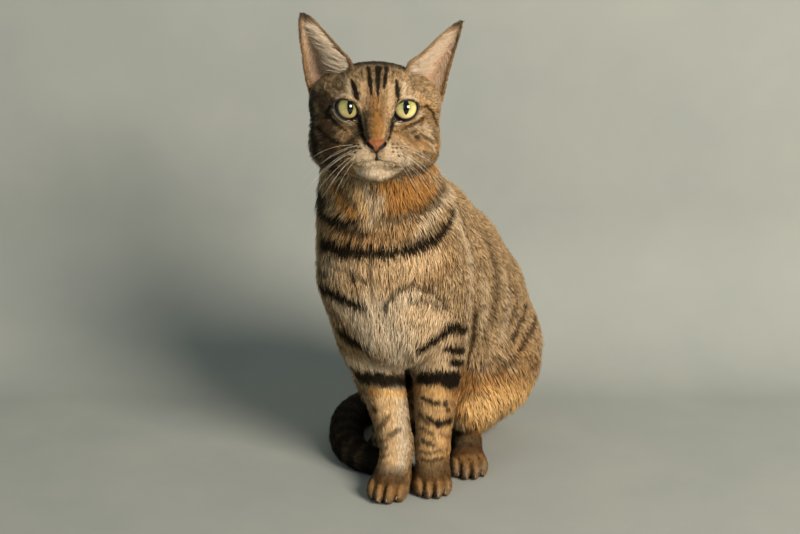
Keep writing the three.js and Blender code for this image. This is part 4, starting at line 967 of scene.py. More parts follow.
    ("d", [(1.6, -34.1, 322.7), (6.2, -34.5, 325.1), (10.9, -34.1, 327.4), (18.7, -29.6, 331.4)], [1.2, 2.3, 2.2, 1.6], 0.82, 0.5),
    ("d", [(18.7, -29.6, 331.4), (16.4, -32.3, 325.5)], 1.1, 0.8, 0.3),
    ("d", [(16.4, -33.7, 319.5), (20.3, -31.8, 315.9), (25.1, -26.8, 311.1)], [1.1, 1.6, 1.1], 0.75, 0.6),
    ("d", [(27.5, -24, 314.5), (27.8, -14.7, 297.5)], [1.4, 1.6], 0.7, 0.3),
    ("d", [(18.8, -29.9, 304.5), (23.8, -24.8, 301.3)], [1.3, 1.6], 0.55, 0.5),
    ("d", [(-51.1, -37.7, 343.7), (-56, -33, 339), (-57.6, -32.4, 331.8)], [1.2, 1.9, 1.9], 1, 0.3),
    ("d", [(-57.6, -31.9, 336.5), (-51.3, -35.7, 329.3), (-45.1, -36.7, 323.9), (-39.7, -35.6, 319.8)], [2.3, 2.5, 2, 1.2], 1, 0.3),
    ("d", [(-64.1, -30.4, 323.6), (-60.1, -34.3, 320.1), (-56.1, -36.3, 316.8), (-51.5, -37.1, 314.3), (-46.8, -37, 312.2)], [2.3, 2.4, 2.5, 2.1, 1.7], 1, 0.3),
    ("d", [(-62.7, -31.2, 309.5), (-57.9, -33.2, 306.5), (-53.2, -34, 303.7), (-43.6, -41.9, 302)], [2.3, 2.3, 2.3, 1.6], 0.9, 0.3),
    ("d", [(-61.8, -20.8, 293.1), (-58.1, 0.5, 285.3), (-53.1, -4.4, 283.3), (-43.3, -9.3, 281)], [3.2, 3.2, 3.2, 2.4], 0.8, 0.3),
    # broad dark patches over the right cheek and temple: partly dark fur, partly painted shade on the face's shaded
    # side
    ("d", [(-70.1, -14.8, 343.2), (-69.7, -17.3, 336.6), (-69.5, -15.7, 329), (-68.5, -23.7, 322), (-67.6, -26.2, 313.3), (-66.7, -24.8, 303.2)], [6.3, 7.3, 8.3, 8.6, 9, 8.5], 1, 0.72),
    ("d", [(-60, -27.6, 348.3), (-59.3, -30.6, 339.4), (-58.4, -32.5, 330.3), (-57, -35.8, 321.4), (-55.4, -35.7, 311.9), (-53.7, -33.2, 301.9), (-52.3, -20.9, 289.8)], [7, 7.8, 8.6, 9, 9.4, 9, 8.7], 0.9, 0.66),
    ("d", [(-52.3, -36, 344), (-66, -22, 347), (-69.1, -10, 349), (-72.6, 2, 349)], [4.2, 3.8, 2.8, 1.4], 0.82, 0.5),
    ("d", [(-50.7, -36, 328), (-67.7, -22, 331), (-70, -10, 330), (-66.7, 2, 327)], [4.2, 3.8, 2.8, 1.4], 0.82, 0.5),
    ("d", [(-53.7, -36, 311), (-69.5, -22, 314), (-70.8, -10, 307), (-66, 2, 298)], [4.2, 3.8, 2.8, 1.4], 0.82, 0.5),
    ("d", [(-24.6, -46, 338), (-55, -34, 340), (-68.6, -20, 340)], [3, 2.6, 1.4], 0.6, 0.5),
    # dark smudge under the right eye: partly brown fur, partly painted shade
    ("d", [(-48.2, -37.4, 321.7), (-42.1, -36.9, 315.3), (-35.2, -58.3, 313)], [4.7, 5.5, 3.8], 0.52, 0.65),
    ("d", [(3.1, -34.2, 319.5), (9.4, -35, 315), (15.6, -33.6, 312.3)], [2.3, 3.1, 2.3], 0.28, 0.6),
    ("d", [(21.9, -27, 335.7), (25.1, -25.6, 325.9), (26.7, -25.2, 320.4), (28.4, -22.3, 314.2)], [3.9, 4.7, 4.3, 3.9], 0.3, 0.6),
    ("w", [(-60.8, -31, 330), (-59.2, -34.2, 324.2), (-57.7, -35.7, 318.2), (-56.2, -35.6, 312.6), (-54.7, -34.6, 306.9)], 2.3, 0.5, 0.5),
    ("d", [(-17.6, -63.7, 310.5), (-17.6, -63, 307.7), (-17.6, -62.5, 304.5)], [0.9, 0.8, 1], 1, 0.3),
    ("d", [(-17.6, -62.5, 304.3), (-23, -62.4, 302.5), (-29.1, -62.1, 301.3)], [0.8, 0.7, 0.5], 0.6, 0.5),
    ("d", [(-17.6, -62.5, 304.3), (-12.3, -62.1, 302.1), (-5.4, -60.5, 300.5)], [0.8, 0.7, 0.5], 0.6, 0.5),
    ("d", [(-37.1, -51.7, 297.7), (-29.1, -61.8, 300.8)], 0.6, 0.6, 0.5),
    ("d", [(-6.1, -60.4, 300.2), (3.1, -38.2, 294.1)], 0.6, 0.6, 0.5),
    # dark patch on the right of the neck: partly dark fur, partly painted shade on the shaded side
    ("d", [(-64.6, 28.2, 258), (-63.1, 20.2, 253.4), (-61.7, 16.3, 248)], [8.3, 7.8, 7.4], 0.92, 0.5),
    ("w", [(-50.1, -0.5, 267.6), (-47.3, -1.3, 261.3), (-44.5, -2.3, 255.6), (-38.8, -4.9, 248.7)], [6.5, 6.5, 6.5, 4.9], 0.9, 0.5),
    ("d", [(-50.1, -1.6, 271.2), (-44.4, -3.7, 263.4), (-40.4, -4.6, 255.3)], [3.2, 4, 3.2], 0.55, 0.5),
    ("d", [(-62.8, 18.4, 241.7), (-57.4, 9.3, 239.5), (-51.4, 2.9, 238.6), (-45.5, -1.4, 238.7), (-35.6, -6.4, 242.4)], [5.4, 5.3, 4.5, 3.7, 2.1], 1, 0.5),
    ("d", [(-38.9, -5, 241.3), (-30.6, -8, 242.9), (-22.6, -9.6, 244), (-15.2, -10.2, 244.3), (-8.1, -10.1, 244.1)], [1.9, 1.8, 1.6, 1.8, 1.9], 0.35, 0.5),
    ("d", [(-9.7, -10.2, 244.1), (-0.5, -8.9, 245.2), (8.1, -6.3, 246.6), (14.8, -3, 249.1), (20.3, 1.1, 252.3), (25, 6.1, 255.7), (28.6, 11.7, 259.1), (32.1, 23.3, 265)], [2.6, 3, 3.4, 3.6, 3.7, 3.7, 3.6, 3], 0.58, 0.6),
    ("w", [(-1.6, -8.8, 249.6), (7.7, -5.8, 251.9), (16.2, -1.2, 254.5), (22, 4.1, 258.8), (27, 11.3, 263.4)], 2.8, 1, 0.3),
    ("d", [(-61.1, 14.2, 217.2), (-55.3, 7, 216.5), (-49.1, 2, 215.6), (-39.1, -4, 215.2), (-32.8, -6.5, 215.3), (-25.3, -8.6, 215.3), (-17.9, -9.8, 215.5), (-10.6, -10.2, 216.1), (-3.3, -9.8, 216.8), (3.2, -8.8, 217.6), (11.2, -6.6, 219.1), (17.9, -3.7, 220.9), (23.6, -0.3, 223), (28.6, 3.7, 225.7), (33.6, 8.7, 229.2), (37.9, 14.4, 233.2), (40.4, 19.9, 237.8), (42.3, 26.3, 242.3)], [7.4, 6.7, 6.1, 4.7, 4.5, 4.3, 4.1, 4.2, 4.4, 4.5, 5, 5.4, 5.2, 5.1, 4.7, 4.3, 3.9, 3.5], 1, 0.42),
    ("d", [(3.2, -8.8, 224.7), (11.6, -6.3, 227.1), (19.5, -2.4, 229.8), (26.3, 2.8, 234.1), (32.8, 10.4, 238.4)], [3.2, 3.7, 4.1, 3.7, 3.3], 0.35, 0.7),
    ("d", [(39.4, 46.6, 257.4), (36.4, 25.4, 253.5)], [2.2, 1.7], 0.6, 0.5),
    ("d", [(-24.4, -8.2, 206), (-23.6, -7.7, 198.2), (-22.9, -7.2, 190.6), (-22.5, -6.8, 183.5), (-22.1, -6.7, 176.8)], [1.5, 1.8, 2.1, 1.8, 1.5], 0.6, 0.6),
    ("d", [(-46, 2.1, 198.2), (-36, -2.6, 196.1), (-27.8, -5.9, 193.6)], [1.6, 2.5, 1.6], 0.55, 0.6),
    ("d", [(13.9, -6.5, 192.9), (7, -8.4, 189.5), (0.8, -9.4, 186.1), (-6.5, -9.6, 180.2), (-11.5, -9.2, 171.5), (-11.5, -9.3, 164.7)], [1.6, 2, 2.3, 2.5, 2.1, 1.3], 0.78, 0.55),
    ("d", [(8.2, -8.2, 188.3), (16.4, -5.9, 185.9), (26.3, -2, 181.4)], [1.1, 1.8, 1.2], 0.8, 0.5),
    ("d", [(5.7, -9.2, 174.1), (14.8, -7.3, 174.4), (24.7, -3.6, 171.6), (34.7, 2, 165.6)], [1.5, 2.5, 2.3, 1.5], 0.8, 0.55),
    ("d", [(23.8, -3, 181.7), (31.3, -0.1, 174.9), (38.1, 4.1, 165.9)], [1.1, 1.8, 1.5], 0.8, 0.5),
    ("d", [(-6.5, -10, 204.8), (1.6, -9.3, 201.3)], 1.1, 0.5, 0.3),
    ("d", [(-52.7, 6.1, 200.5), (-44.3, 1.2, 198.4)], 1.6, 0.6, 0.3),
    ("d", [(1.6, -9.6, 158.8), (11.5, -7.8, 154.8), (19.8, -5.2, 154.9)], 1.1, 0.5, 0.3),
    ("d", [(-64.6, 24.7, 177.3), (-57.9, 13.4, 177), (-51.4, 8.3, 175), (-44.4, 4.6, 172.9), (-38, 1.6, 170.9), (-29.6, -3.2, 168.1)], [4.7, 5.2, 5.6, 5, 4.5, 2.5], 1, 0.5),
    ("d", [(-55.5, 21.8, 155.4), (-48.4, 12.5, 155.6)], 1.8, 0.6, 0.3),
    ("d", [(-48.2, 19.9, 139.9), (-42, 14.7, 137.4), (-32.6, 8.6, 133.6), (-25.9, 6.6, 129)], [5.9, 6.4, 6, 3.7], 1, 0.45),
    ("d", [(14.1, 0.8, 131.3), (19.2, 1.1, 134.7), (24.1, 2.3, 137.8), (32.5, 6.2, 143.6), (39.3, 10.3, 146.2), (47, 16.1, 145.3), (54.1, 25.1, 139.8)], [3, 3.8, 4.7, 5.2, 5.2, 4.5, 3.4], 1, 0.45),
    ("d", [(38.8, 17, 126), (45.2, 20.4, 124.3), (51.8, 26.7, 121.6)], 3.5, 1, 0.4),
    ("d", [(43.2, 21.5, 113), (51.1, 27.8, 110)], 3.4, 1, 0.4),
    ("d", [(6.7, 4.3, 123.2), (15.2, 14.6, 118)], 1.5, 0.6, 0.3),
    ("d", [(-34.2, 29.6, 97.7), (-24.9, 22.4, 98.5), (-15.3, 20.9, 97.6), (-8.2, 22.5, 96.3), (-0.7, 28.1, 93.8), (7.1, 82.6, 74.3)], [6.5, 7, 7.5, 7.3, 7.2, 7.3], 1, 0.42),
    ("w", [(-34, 84.7, 65.6), (-22.9, 21.8, 86.4), (-13.6, 19.2, 86), (-5, 21.2, 84.8), (3.4, 30.5, 81.1)], [3.6, 3.4, 3.4, 3.4, 3.4], 1, 0.3),
    ("d", [(11.6, 90.8, 75.7), (21.3, 23.3, 98.5), (30.6, 20.3, 99.1), (37.4, 20.9, 98.3), (42.6, 23.3, 96.8), (48.8, 30.1, 93)], [6.3, 6.6, 7.3, 7.7, 8.1, 7.3], 1, 0.34),
    ("w", [(13.7, 32.4, 84.1), (23.9, 21.1, 87.3), (34, 19.7, 86.8), (43.7, 24.3, 83.4), (53.9, 47.6, 73.2)], 3.4, 1, 0.3),
    ("d", [(52.2, 31.7, 101.5), (57.2, 55.2, 87), (61, 52, 81.7), (64.4, 48.9, 77.2), (67.8, 46.5, 72.7)], [5.1, 6.5, 7.8, 6.5, 5.2], 0.18, 0.55),
    ("w", [(52.2, 31.7, 101.5), (57.2, 55.2, 87), (61, 52, 81.7), (64.4, 48.9, 77.2), (67.8, 46.5, 72.7)], [6.8, 7.9, 8.7, 7.8, 7], 0.8, 0.5),
    ("d", [(-10.2, 16.4, 66.3), (-13.7, 16.8, 59.8), (-18, 21.3, 51.7)], [1.9, 2.7, 2.2], 0.7, 0.6),
    ("d", [(-8.5, 14.4, 49.8), (-1.7, 15.2, 54.1)], 2.6, 0.7, 0.6),
    ("d", [(-22.6, 90.9, 15.5), (-14.6, 18, 43), (-9.4, 14.1, 46.3)], [2, 1.9, 1.2], 0.5, 0.6),
    ("d", [(-22.5, 82.5, 11.1), (-14.6, 16.3, 36.3), (-9.4, 12.1, 39.8)], [2, 1.9, 1.2], 0.5, 0.6),
    ("d", [(-21.9, 43.5, 19), (-14.5, 11.6, 30.9), (-9.4, 8.7, 33.8)], [1.9, 1.9, 1.2], 0.5, 0.6),
    ("d", [(-21.9, 40.6, 12.7), (-14.5, 5.8, 25.9), (-9.4, 4.2, 28.4)], [1.9, 1.9, 1.2], 0.5, 0.6),
    ("d", [(19.6, 22.8, 80.7), (26.4, 19.1, 78.9), (33.2, 18.5, 77.3)], [1.7, 2.6, 1.9], 0.95, 0.5),
    ("d", [(17.1, 23.6, 66.4), (20.7, 19.5, 63.1), (24.3, 17.1, 59.2)], 2.4, 0.8, 0.55),
    ("d", [(23.9, 18, 64.8), (28.6, 16.5, 61.6), (33.3, 16.7, 58.9), (42.9, 24.1, 59.8)], [2, 2.8, 3.6, 3.1], 1, 0.5),
    ("d", [(19.7, 16.5, 44.4), (28.2, 12.5, 41)], 2.1, 0.85, 0.5),
    ("d", [(18.8, 12.6, 28.6), (27.3, 8.8, 28.3), (35.9, 12.2, 29.7)], [1.5, 2.4, 1.7], 0.85, 0.5),
    ("d", [(34.2, 16.2, 50.1), (42.2, 25.1, 43.9)], 1.9, 0.6, 0.5),
    ("d", [(17.1, 15.9, 34.6), (25.6, 10.9, 34.8), (35, 13.2, 36.6)], [1.2, 1.9, 1.4], 0.7, 0.5),
    ("d", [(20.5, 18.4, 53.7), (28.2, 15.1, 50.4)], 1.7, 0.7, 0.5),
    ("d", [(8.6, 12.5, 21.3), (14.5, 14.6, 20.4), (20.5, 8.5, 23), (27.2, 6.9, 24), (34.2, 8.6, 23.8)], 1.7, 0.55, 0.6),
    ("w", [(-11.9, 18.2, 79.2), (-10.6, 17.4, 73.1), (-9.4, 16.5, 67.2), (-7.7, 15, 56.9)], [2.6, 3, 3.4, 2.6], 0.7, 0.5),
    # dark line down the crease behind the left shoulder: painted shade in the crease, over the groove cut into the skin
    ("d", [(47.7, 39.9, 246), (49.7, 35.5, 238.7), (52.2, 33.8, 230.3), (54.8, 35.2, 223.1), (57.8, 37.6, 215.1), (60.2, 38.5, 207.5), (62.3, 37.9, 196.8), (63.4, 36.6, 186.2), (63.9, 37.6, 175.8), (63.9, 42, 162.7), (63.8, 46.9, 152.9), (63.5, 51.8, 141.7), (63.1, 55.8, 130.8), (62.6, 59.3, 121.4), (60.9, 61.3, 109.7), (58.9, 59.8, 101.1)], [2, 2.3, 2.5, 2.7, 2.9, 3, 3.2, 3.4, 3.4, 3.4, 3.3, 3.3, 3.2, 3.1, 3, 2.8], 0.8, 0.6),
    ("d", [(71.7, 58.6, 214.7), (74.1, 55.8, 207.8), (76.5, 54.6, 200.6), (78.6, 54.1, 192.9), (80.2, 54.9, 184.7), (81.3, 56.6, 175.9), (81.8, 58.4, 166.9), (81.3, 58.9, 157.9), (80, 58.9, 148.8), (78.8, 59.7, 139.5)], [4.3, 4.3, 4.3, 4.3, 4.3, 4.3, 4.3, 4, 3.7, 3.5], 0.45, 0.6),
    ("p", [(66, 41.2, 196.3), (68.1, 41.8, 188.4), (70.2, 43.6, 180.1), (71.7, 46.7, 170.2), (72, 49.9, 161.1), (71.9, 53.1, 151.1), (71.4, 55.5, 141), (71.1, 58.4, 130.8)], [2.5, 2.8, 3.1, 3.4, 3.4, 3.4, 3.5, 3.5], 0.3, 0.6),
    ("p", [(86.3, 65.6, 182.8), (88.7, 68.6, 173.3), (91.1, 69.8, 164.3), (92.2, 69.5, 154.7), (91.7, 68.7, 146.5), (90.5, 68.3, 137.4), (88.9, 68.6, 127.9), (87.4, 67.2, 118.9)], [3.5, 3.5, 3.5, 3.5, 3.7, 3.9, 4.2, 4.4], 0.3, 0.6),
    ("d", [(98.1, 82.1, 167.4), (99.5, 79.7, 157.2), (99.9, 78.4, 146.6), (96.9, 74.8, 136.7), (92.8, 71.7, 126.7)], [2.1, 2.4, 2.6, 2.2, 1.8], 0.4, 0.6),
    ("d", [(109.7, 98, 140.8), (107.2, 89.9, 134.9), (103.9, 83.3, 128.8), (100.2, 77.5, 122.7), (96.6, 72.6, 116.3)], 2.8, 0.85, 0.55),
    ("d", [(119.5, 112.5, 123), (114, 93.3, 118.1), (109, 83.6, 112.4), (104.1, 76.6, 106.7)], 2.9, 0.85, 0.55),
    ("d", [(82.2, 58.1, 87), (88.4, 61.9, 92.1), (94.8, 66.9, 96.9), (101.3, 72.9, 101.4), (107.9, 80.4, 105.4)], 2.6, 0.6, 0.55),
    ("d", [(89.5, 76.2, 187.1), (91.4, 76.1, 178.7), (93.3, 75.3, 170.5), (94.1, 73.4, 162.6), (93, 70.4, 155), (90.8, 67.8, 147.3), (88.8, 66.7, 139.1)], 1.9, 0.35, 0.5),
    ("d", [(122.1, 104.3, 85.1), (116.4, 92.4, 82.7)], 2.3, 0.55, 0.5),
    ("d", [(72.9, 59.2, 130.6), (75.4, 62.3, 120.2), (76.7, 61.5, 111.6), (75.4, 59.3, 104.7), (73.2, 57.2, 98.4)], 2.1, 0.4, 0.5),
    ("d", [(156.3, 333, -1), (152.6, 331.3, -8.1), (146, 309.5, -7.3), (136.2, 286.9, -3.6), (111.6, 93.5, 61.5)], [2.3, 2.3, 2.3, 2.3, 2], 0.45, 0.5),
    ("d", [(-65.1, 22.2, 191.9), (-58, 11.1, 192.3)], 2.5, 0.6, 0.5),
    ("d", [(-18.8, 15.2, 368), (-18.8, 35, 357.2), (-18.8, 42.6, 345), (-19, 43, 331.8), (-18.8, 39.5, 318), (-17.1, 45.2, 304.1), (-15, 56, 290)], [3, 3.6, 4.2, 4.3, 4.5, 3.8, 3], 0.8, 0.35),
    ("d", [(-27.8, 14, 368), (-28.7, 34.3, 357.2), (-29.6, 41.8, 345), (-30, 42, 331.8), (-29.6, 38.4, 318), (-27.5, 44.4, 304.1), (-24.9, 55.1, 290)], [2.2, 2.6, 3.1, 3.2, 3.3, 2.8, 2.2], 0.8, 0.35),
    ("d", [(-9.8, 11.2, 368), (-8.9, 33.6, 357.2), (-8, 41.4, 345), (-8.1, 41.8, 331.8), (-8, 38, 318), (-6.7, 43.6, 304.1), (-5.1, 54.5, 290)], [2.2, 2.6, 3.1, 3.2, 3.3, 2.8, 2.2], 0.8, 0.35),
    ("d", [(-37.8, -0.5, 368), (-39.7, 30.7, 357.2), (-41.6, 38.2, 345), (-42.2, 38.1, 331.8), (-41.6, 33.8, 318), (-39.1, 40.8, 304.1), (-35.9, 51.4, 290)], [2.2, 2.6, 3.1, 3.2, 3.3, 2.8, 2.2], 0.8, 0.35),
    ("d", [(2.1, 29, 357.2), (4, 37.2, 345), (4.1, 37.6, 331.8), (4, 32.6, 318), (4.8, 38.5, 304.1), (5.9, 49.5, 290)], [2.6, 3.1, 3.2, 3.3, 2.8, 2.2], 0.8, 0.35),
    ("d", [(-48.8, -14.2, 384), (-48.8, 0.6, 368), (-51.8, 21.6, 357.2), (-54.8, 29.7, 345), (-55.6, 28.8, 331.8), (-54.8, 19.2, 318), (-51.8, 32.2, 304.1), (-48, 43.1, 290)], [2.4, 2.4, 2.9, 3.4, 3.5, 3.6, 3, 2.4], 0.8, 0.35),
    ("d", [(11.2, -8.3, 368), (14.2, 16.4, 357.2), (17.2, 27.2, 345), (17.5, 27.5, 331.8), (17.2, 13.5, 318), (17.5, 24.5, 304.1), (18, 36.8, 290)], [2.4, 2.9, 3.4, 3.5, 3.6, 3, 2.4], 0.8, 0.35),
    ("d", [(-15, 47.8, 300), (-10.4, 58.1, 287.4), (-5, 67.4, 275), (3, 73.5, 262.9), (12, 90.2, 252), (20.4, 96.8, 244.6), (30, 105.3, 236), (38.3, 117.3, 226.7), (47.6, 126.4, 215.7), (56, 132.7, 204), (63.2, 142.6, 191.9), (69.6, 152.8, 179), (75, 158.2, 166), (79.6, 161.7, 152.6), (83.3, 168.1, 139), (85, 174.1, 126), (84, 177, 114), (81, 178.7, 102.7), (78, 179.2, 92), (74.1, 185.1, 77.6), (70, 192.9, 64)], [5, 5.5, 6, 7, 8, 8.2, 8.5, 8.5, 8.5, 8.5, 8.5, 8.5, 8.5, 8.3, 8.2, 8, 7.7, 7.3, 7, 6.5, 6], 0.92, 0.35),
    ("d", [(7.5, 97, 243), (-21, 87.9, 231.2), (-30, 79, 219), (-32.5, 73.2, 209.9), (-45.3, 67.7, 200.3), (-54.2, 63, 191), (-56.9, 58.5, 177.9), (-56.1, 55, 165)], [3, 3.3, 3.6, 3.5, 3.3, 3.2, 2.4, 1.6], 0.6, 0.45),
    ("d", [(5.8, 110, 226), (-14.2, 100.9, 214.2), (-22.2, 92, 202), (-23.8, 86.2, 192.9), (-23, 80.7, 183.3), (-20.2, 76, 174), (-13.8, 71.5, 160.9), (-32.7, 68, 148)], [3, 3.3, 3.6, 3.5, 3.3, 3.2, 2.4, 1.6], 0.6, 0.45),
    ("d", [(2.7, 122, 207), (-10.8, 112.9, 195.2), (-16.6, 104, 183), (-17.5, 98.2, 173.9), (-15.9, 92.7, 164.3), (-12.4, 88, 155), (-4, 83.5, 141.9), (5.9, 80, 129)], [3, 3.3, 3.6, 3.5, 3.3, 3.2, 2.4, 1.6], 0.6, 0.45),
    ("d", [(9.4, 134, 188), (-3.1, 124.9, 176.2), (-7.9, 116, 164), (-8.1, 110.2, 154.9), (-6.4, 104.7, 145.3), (-3.2, 100, 136), (2.9, 95.5, 122.9), (10.5, 92, 110)], [3, 3.3, 3.6, 3.5, 3.3, 3.2, 2.4, 1.6], 0.6, 0.45),
    ("d", [(15.7, 146, 170), (4, 136.9, 158.2), (-0.9, 128, 146), (-1.5, 122.2, 136.9), (-1.8, 116.7, 127.3), (-7.9, 112, 118), (-22.8, 107.5, 104.9), (-31.8, 104, 92)], [3, 3.3, 3.6, 3.5, 3.3, 3.2, 2.4, 1.6], 0.6, 0.45),
    ("d", [(19, 155, 150), (9.6, 145.9, 138.2), (3.8, 137, 126), (-3.5, 131.2, 116.9), (-13.5, 125.7, 107.3), (-20.7, 121, 98), (-27.8, 116.5, 84.9), (-31.4, 113, 72)], [3, 3.3, 3.6, 3.5, 3.3, 3.2, 2.4, 1.6], 0.6, 0.45),
    ("d", [(24.8, 161, 130), (11.4, 151.9, 118.2), (-1.6, 143, 106), (-10.3, 137.2, 96.9), (-17, 131.7, 87.3), (-22.8, 127, 78), (-26.6, 122.5, 64.9), (-24.6, 119, 52)], [3, 3.3, 3.6, 3.5, 3.3, 3.2, 2.4, 1.6], 0.6, 0.45),
    ("d", [(-19.6, 93, 220), (-25.8, 85.8, 208.9), (-27.3, 79, 198), (-25.7, 73.8, 187.9), (-22.3, 69, 178)], [1, 1.4, 1.8, 1.4, 1], 0.4, 0.5),
    ("d", [(-13.6, 106, 203), (-19, 98.8, 191.9), (-20.4, 92, 181), (-18.9, 86.8, 170.9), (-15.2, 82, 161)], [1, 1.4, 1.8, 1.4, 1], 0.4, 0.5),
    ("d", [(-8.5, 118, 185), (-12.6, 110.8, 173.9), (-12.8, 104, 163), (-10.2, 98.8, 152.9), (-5.8, 94, 143)], [1, 1.4, 1.8, 1.4, 1], 0.4, 0.5),
    ("d", [(0.6, 130, 166), (-3.5, 122.8, 154.9), (-4.3, 116, 144), (-2.6, 110.8, 133.9), (-0.9, 106, 124)], [1, 1.4, 1.8, 1.4, 1], 0.4, 0.5),
    ("d", [(5.1, 140, 146), (2.3, 132.8, 134.9), (-1.5, 126, 124), (-11.1, 120.8, 113.9), (-20.4, 116, 104)], [1, 1.4, 1.8, 1.4, 1], 0.4, 0.5),
    ("d", [(41, 102.3, 236), (58.7, 104.7, 227.8), (70.9, 103.7, 219), (80.1, 100.9, 208.8), (87, 97.9, 198), (93.2, 96.8, 187.1), (99.6, 96.9, 176)], [3, 3.1, 3.2, 2.9, 2.6, 2, 1.4], 0.52, 0.5),
    ("d", [(56.5, 119.2, 219), (68.7, 117.8, 210.8), (78.7, 115.2, 202), (88.7, 113.1, 191.8), (97.6, 111.4, 181), (104.2, 110.6, 170.1), (108.1, 108.9, 159)], [3, 3.1, 3.2, 2.9, 2.6, 2, 1.4], 0.52, 0.5),
    ("d", [(64, 130.6, 202), (77.8, 130.3, 193.8), (89.4, 128.8, 185), (98.8, 126.3, 174.8), (105.1, 122.7, 164), (109.1, 120.2, 153.1), (112.6, 118.2, 142)], [3, 3.1, 3.2, 2.9, 2.6, 2, 1.4], 0.52, 0.5),
    ("d", [(75.9, 145, 184), (87.6, 143.3, 175.8), (96.3, 139.8, 167), (103.3, 135.5, 156.8), (109.2, 131.7, 146), (114.8, 130.3, 135.1), (119.6, 129.2, 124)], [3, 3.1, 3.2, 2.9, 2.6, 2, 1.4], 0.52, 0.5),
    ("d", [(81.6, 155.1, 165), (91.2, 151.9, 156.8), (99.9, 148.4, 148), (108.5, 145.3, 137.8), (115.4, 142.2, 127), (119.7, 139.8, 116.1), (123, 137.7, 105)], [3, 3.1, 3.2, 2.9, 2.6, 2, 1.4], 0.52, 0.5),
    ("d", [(87.2, 161.5, 146), (98.1, 159.2, 137.8), (107.1, 155.8, 129), (113.9, 151.5, 118.8), (118.3, 146.6, 108), (121.1, 143.3, 97.1), (122.7, 139.9, 86)], [3, 3.1, 3.2, 2.9, 2.6, 2, 1.4], 0.52, 0.5),
    ("d", [(94.6, 169.1, 126), (103.4, 165.3, 117.8), (109.4, 159.9, 109), (113.5, 153.6, 98.8), (116.9, 148.1, 88), (118.3, 143.7, 77.1), (117.2, 138.6, 66)], [3, 3.1, 3.2, 2.9, 2.6, 2, 1.4], 0.52, 0.5),
    ("d", [(16.7, 156, 122), (5.2, 145, 116.6), (-5, 134, 112), (-14, 122.8, 109.1), (-19.3, 112, 108), (-18.8, 102.8, 109.5), (7.9, 94, 112)], [1.6, 2.4, 3.2, 3, 2.8, 2.1, 1.4], 0.6, 0.45),
    ("d", [(113.3, 152, 120), (119.1, 141.9, 115.5), (123, 132, 112), (124, 122.9, 111.5), (123.2, 114, 112)], [1.6, 2.2, 2.8, 2.2, 1.6], 0.42, 0.5),
    ("d", [(3.5, 151, 102), (-8.2, 140, 96.6), (-17.7, 129, 92), (-25.8, 117.7, 89.1), (-31.9, 107, 88), (-35.1, 98.2, 89.5), (-37, 90, 92)], [1.6, 2.4, 3.2, 3, 2.8, 2.1, 1.4], 0.6, 0.45),
    ("d", [(117.9, 148, 100), (123.9, 137.9, 95.5), (126.1, 128, 92), (125.9, 118.9, 91.5), (124.3, 110, 92)], [1.6, 2.2, 2.8, 2.2, 1.6], 0.42, 0.5),
    ("d", [(-6.3, 146, 82), (-17.1, 135, 76.6), (-25.8, 124, 72), (-31.4, 112.6, 69.1), (-34.7, 102, 68), (-36.4, 93.6, 69.5), (-37.1, 86, 72)], [1.6, 2.4, 3.2, 3, 2.8, 2.1, 1.4], 0.6, 0.45),
    ("d", [(119, 144, 80), (123.3, 133.9, 75.5), (123.6, 124, 72), (122.5, 114.9, 71.5), (120.3, 106, 72)], [1.6, 2.2, 2.8, 2.2, 1.6], 0.42, 0.5),
    ("d", [(-15.7, 141, 62), (-21.8, 130, 56.6), (-24.6, 119, 52), (-26.5, 107.6, 49.1), (-26.5, 97, 48)], [1.6, 2.4, 3.2, 3, 2.8], 0.6, 0.45),
    ("d", [(110.9, 140, 60), (114.3, 129.9, 55.5), (113.7, 120, 52), (112.7, 110.9, 51.5), (110.5, 102, 52)], [1.6, 2.2, 2.8, 2.2, 1.6], 0.42, 0.5),
    ("d", [(-13.3, 136, 42), (-12.7, 125, 36.6), (-12.7, 114, 32)], [1.6, 2.4, 3.2], 0.6, 0.45),
    ("d", [(99, 136, 40), (89.3, 125.9, 35.5), (73.5, 116, 32)], [1.6, 2.2, 2.8], 0.42, 0.5),
    ("d", [(-56.6, 49.2, 154), (-57.8, 37, 150), (-54.1, 25.3, 147)], [1.6, 2.9, 1.6], 0.75, 0.4),
    ("d", [(55.9, 26.6, 147), (60.1, 40.3, 150), (70.7, 51.4, 154)], [1.6, 2.9, 1.6], 0.6, 0.4),
    ("d", [(-52, 49.6, 132), (-51.9, 37.5, 128), (-46.2, 26, 125)], [1.6, 2.9, 1.6], 0.75, 0.4),
    ("d", [(52.6, 26.9, 125), (57.8, 40.5, 128), (59.3, 52.4, 132)], [1.6, 2.9, 1.6], 0.6, 0.4),
    ("d", [(-44.5, 50.2, 110), (-43, 38.3, 106), (-34.3, 27, 103)], [1.6, 2.9, 1.6], 0.75, 0.4),
    ("d", [(49.3, 27.2, 103), (56.3, 40.6, 106), (56.2, 52.7, 110)], [1.6, 2.9, 1.6], 0.6, 0.4),
    ("d", [(-30.1, 51.5, 90), (-32.6, 39.2, 86), (-28.6, 27.5, 83)], [1.6, 2.9, 1.6], 0.75, 0.4),
    ("d", [(46.3, 27.5, 83), (49.8, 41.2, 86), (46.1, 53.6, 90)], [1.6, 2.9, 1.6], 0.6, 0.4),
    ("d", [(-24.9, 39.9, 68), (-24.4, 27.9, 65)], [2.9, 1.6], 0.75, 0.4),
    ("d", [(44.9, 27.6, 65), (45.8, 41.6, 68), (76.9, 50.9, 72)], [1.6, 2.9, 1.6], 0.6, 0.4),
    ("d", [(-14, 40.8, 52), (-19.4, 28.3, 49)], [2.9, 1.6], 0.75, 0.4),
    ("d", [(43, 27.8, 49), (37.8, 42.3, 52), (78.5, 50.8, 56)], [1.6, 2.9, 1.6], 0.6, 0.4),
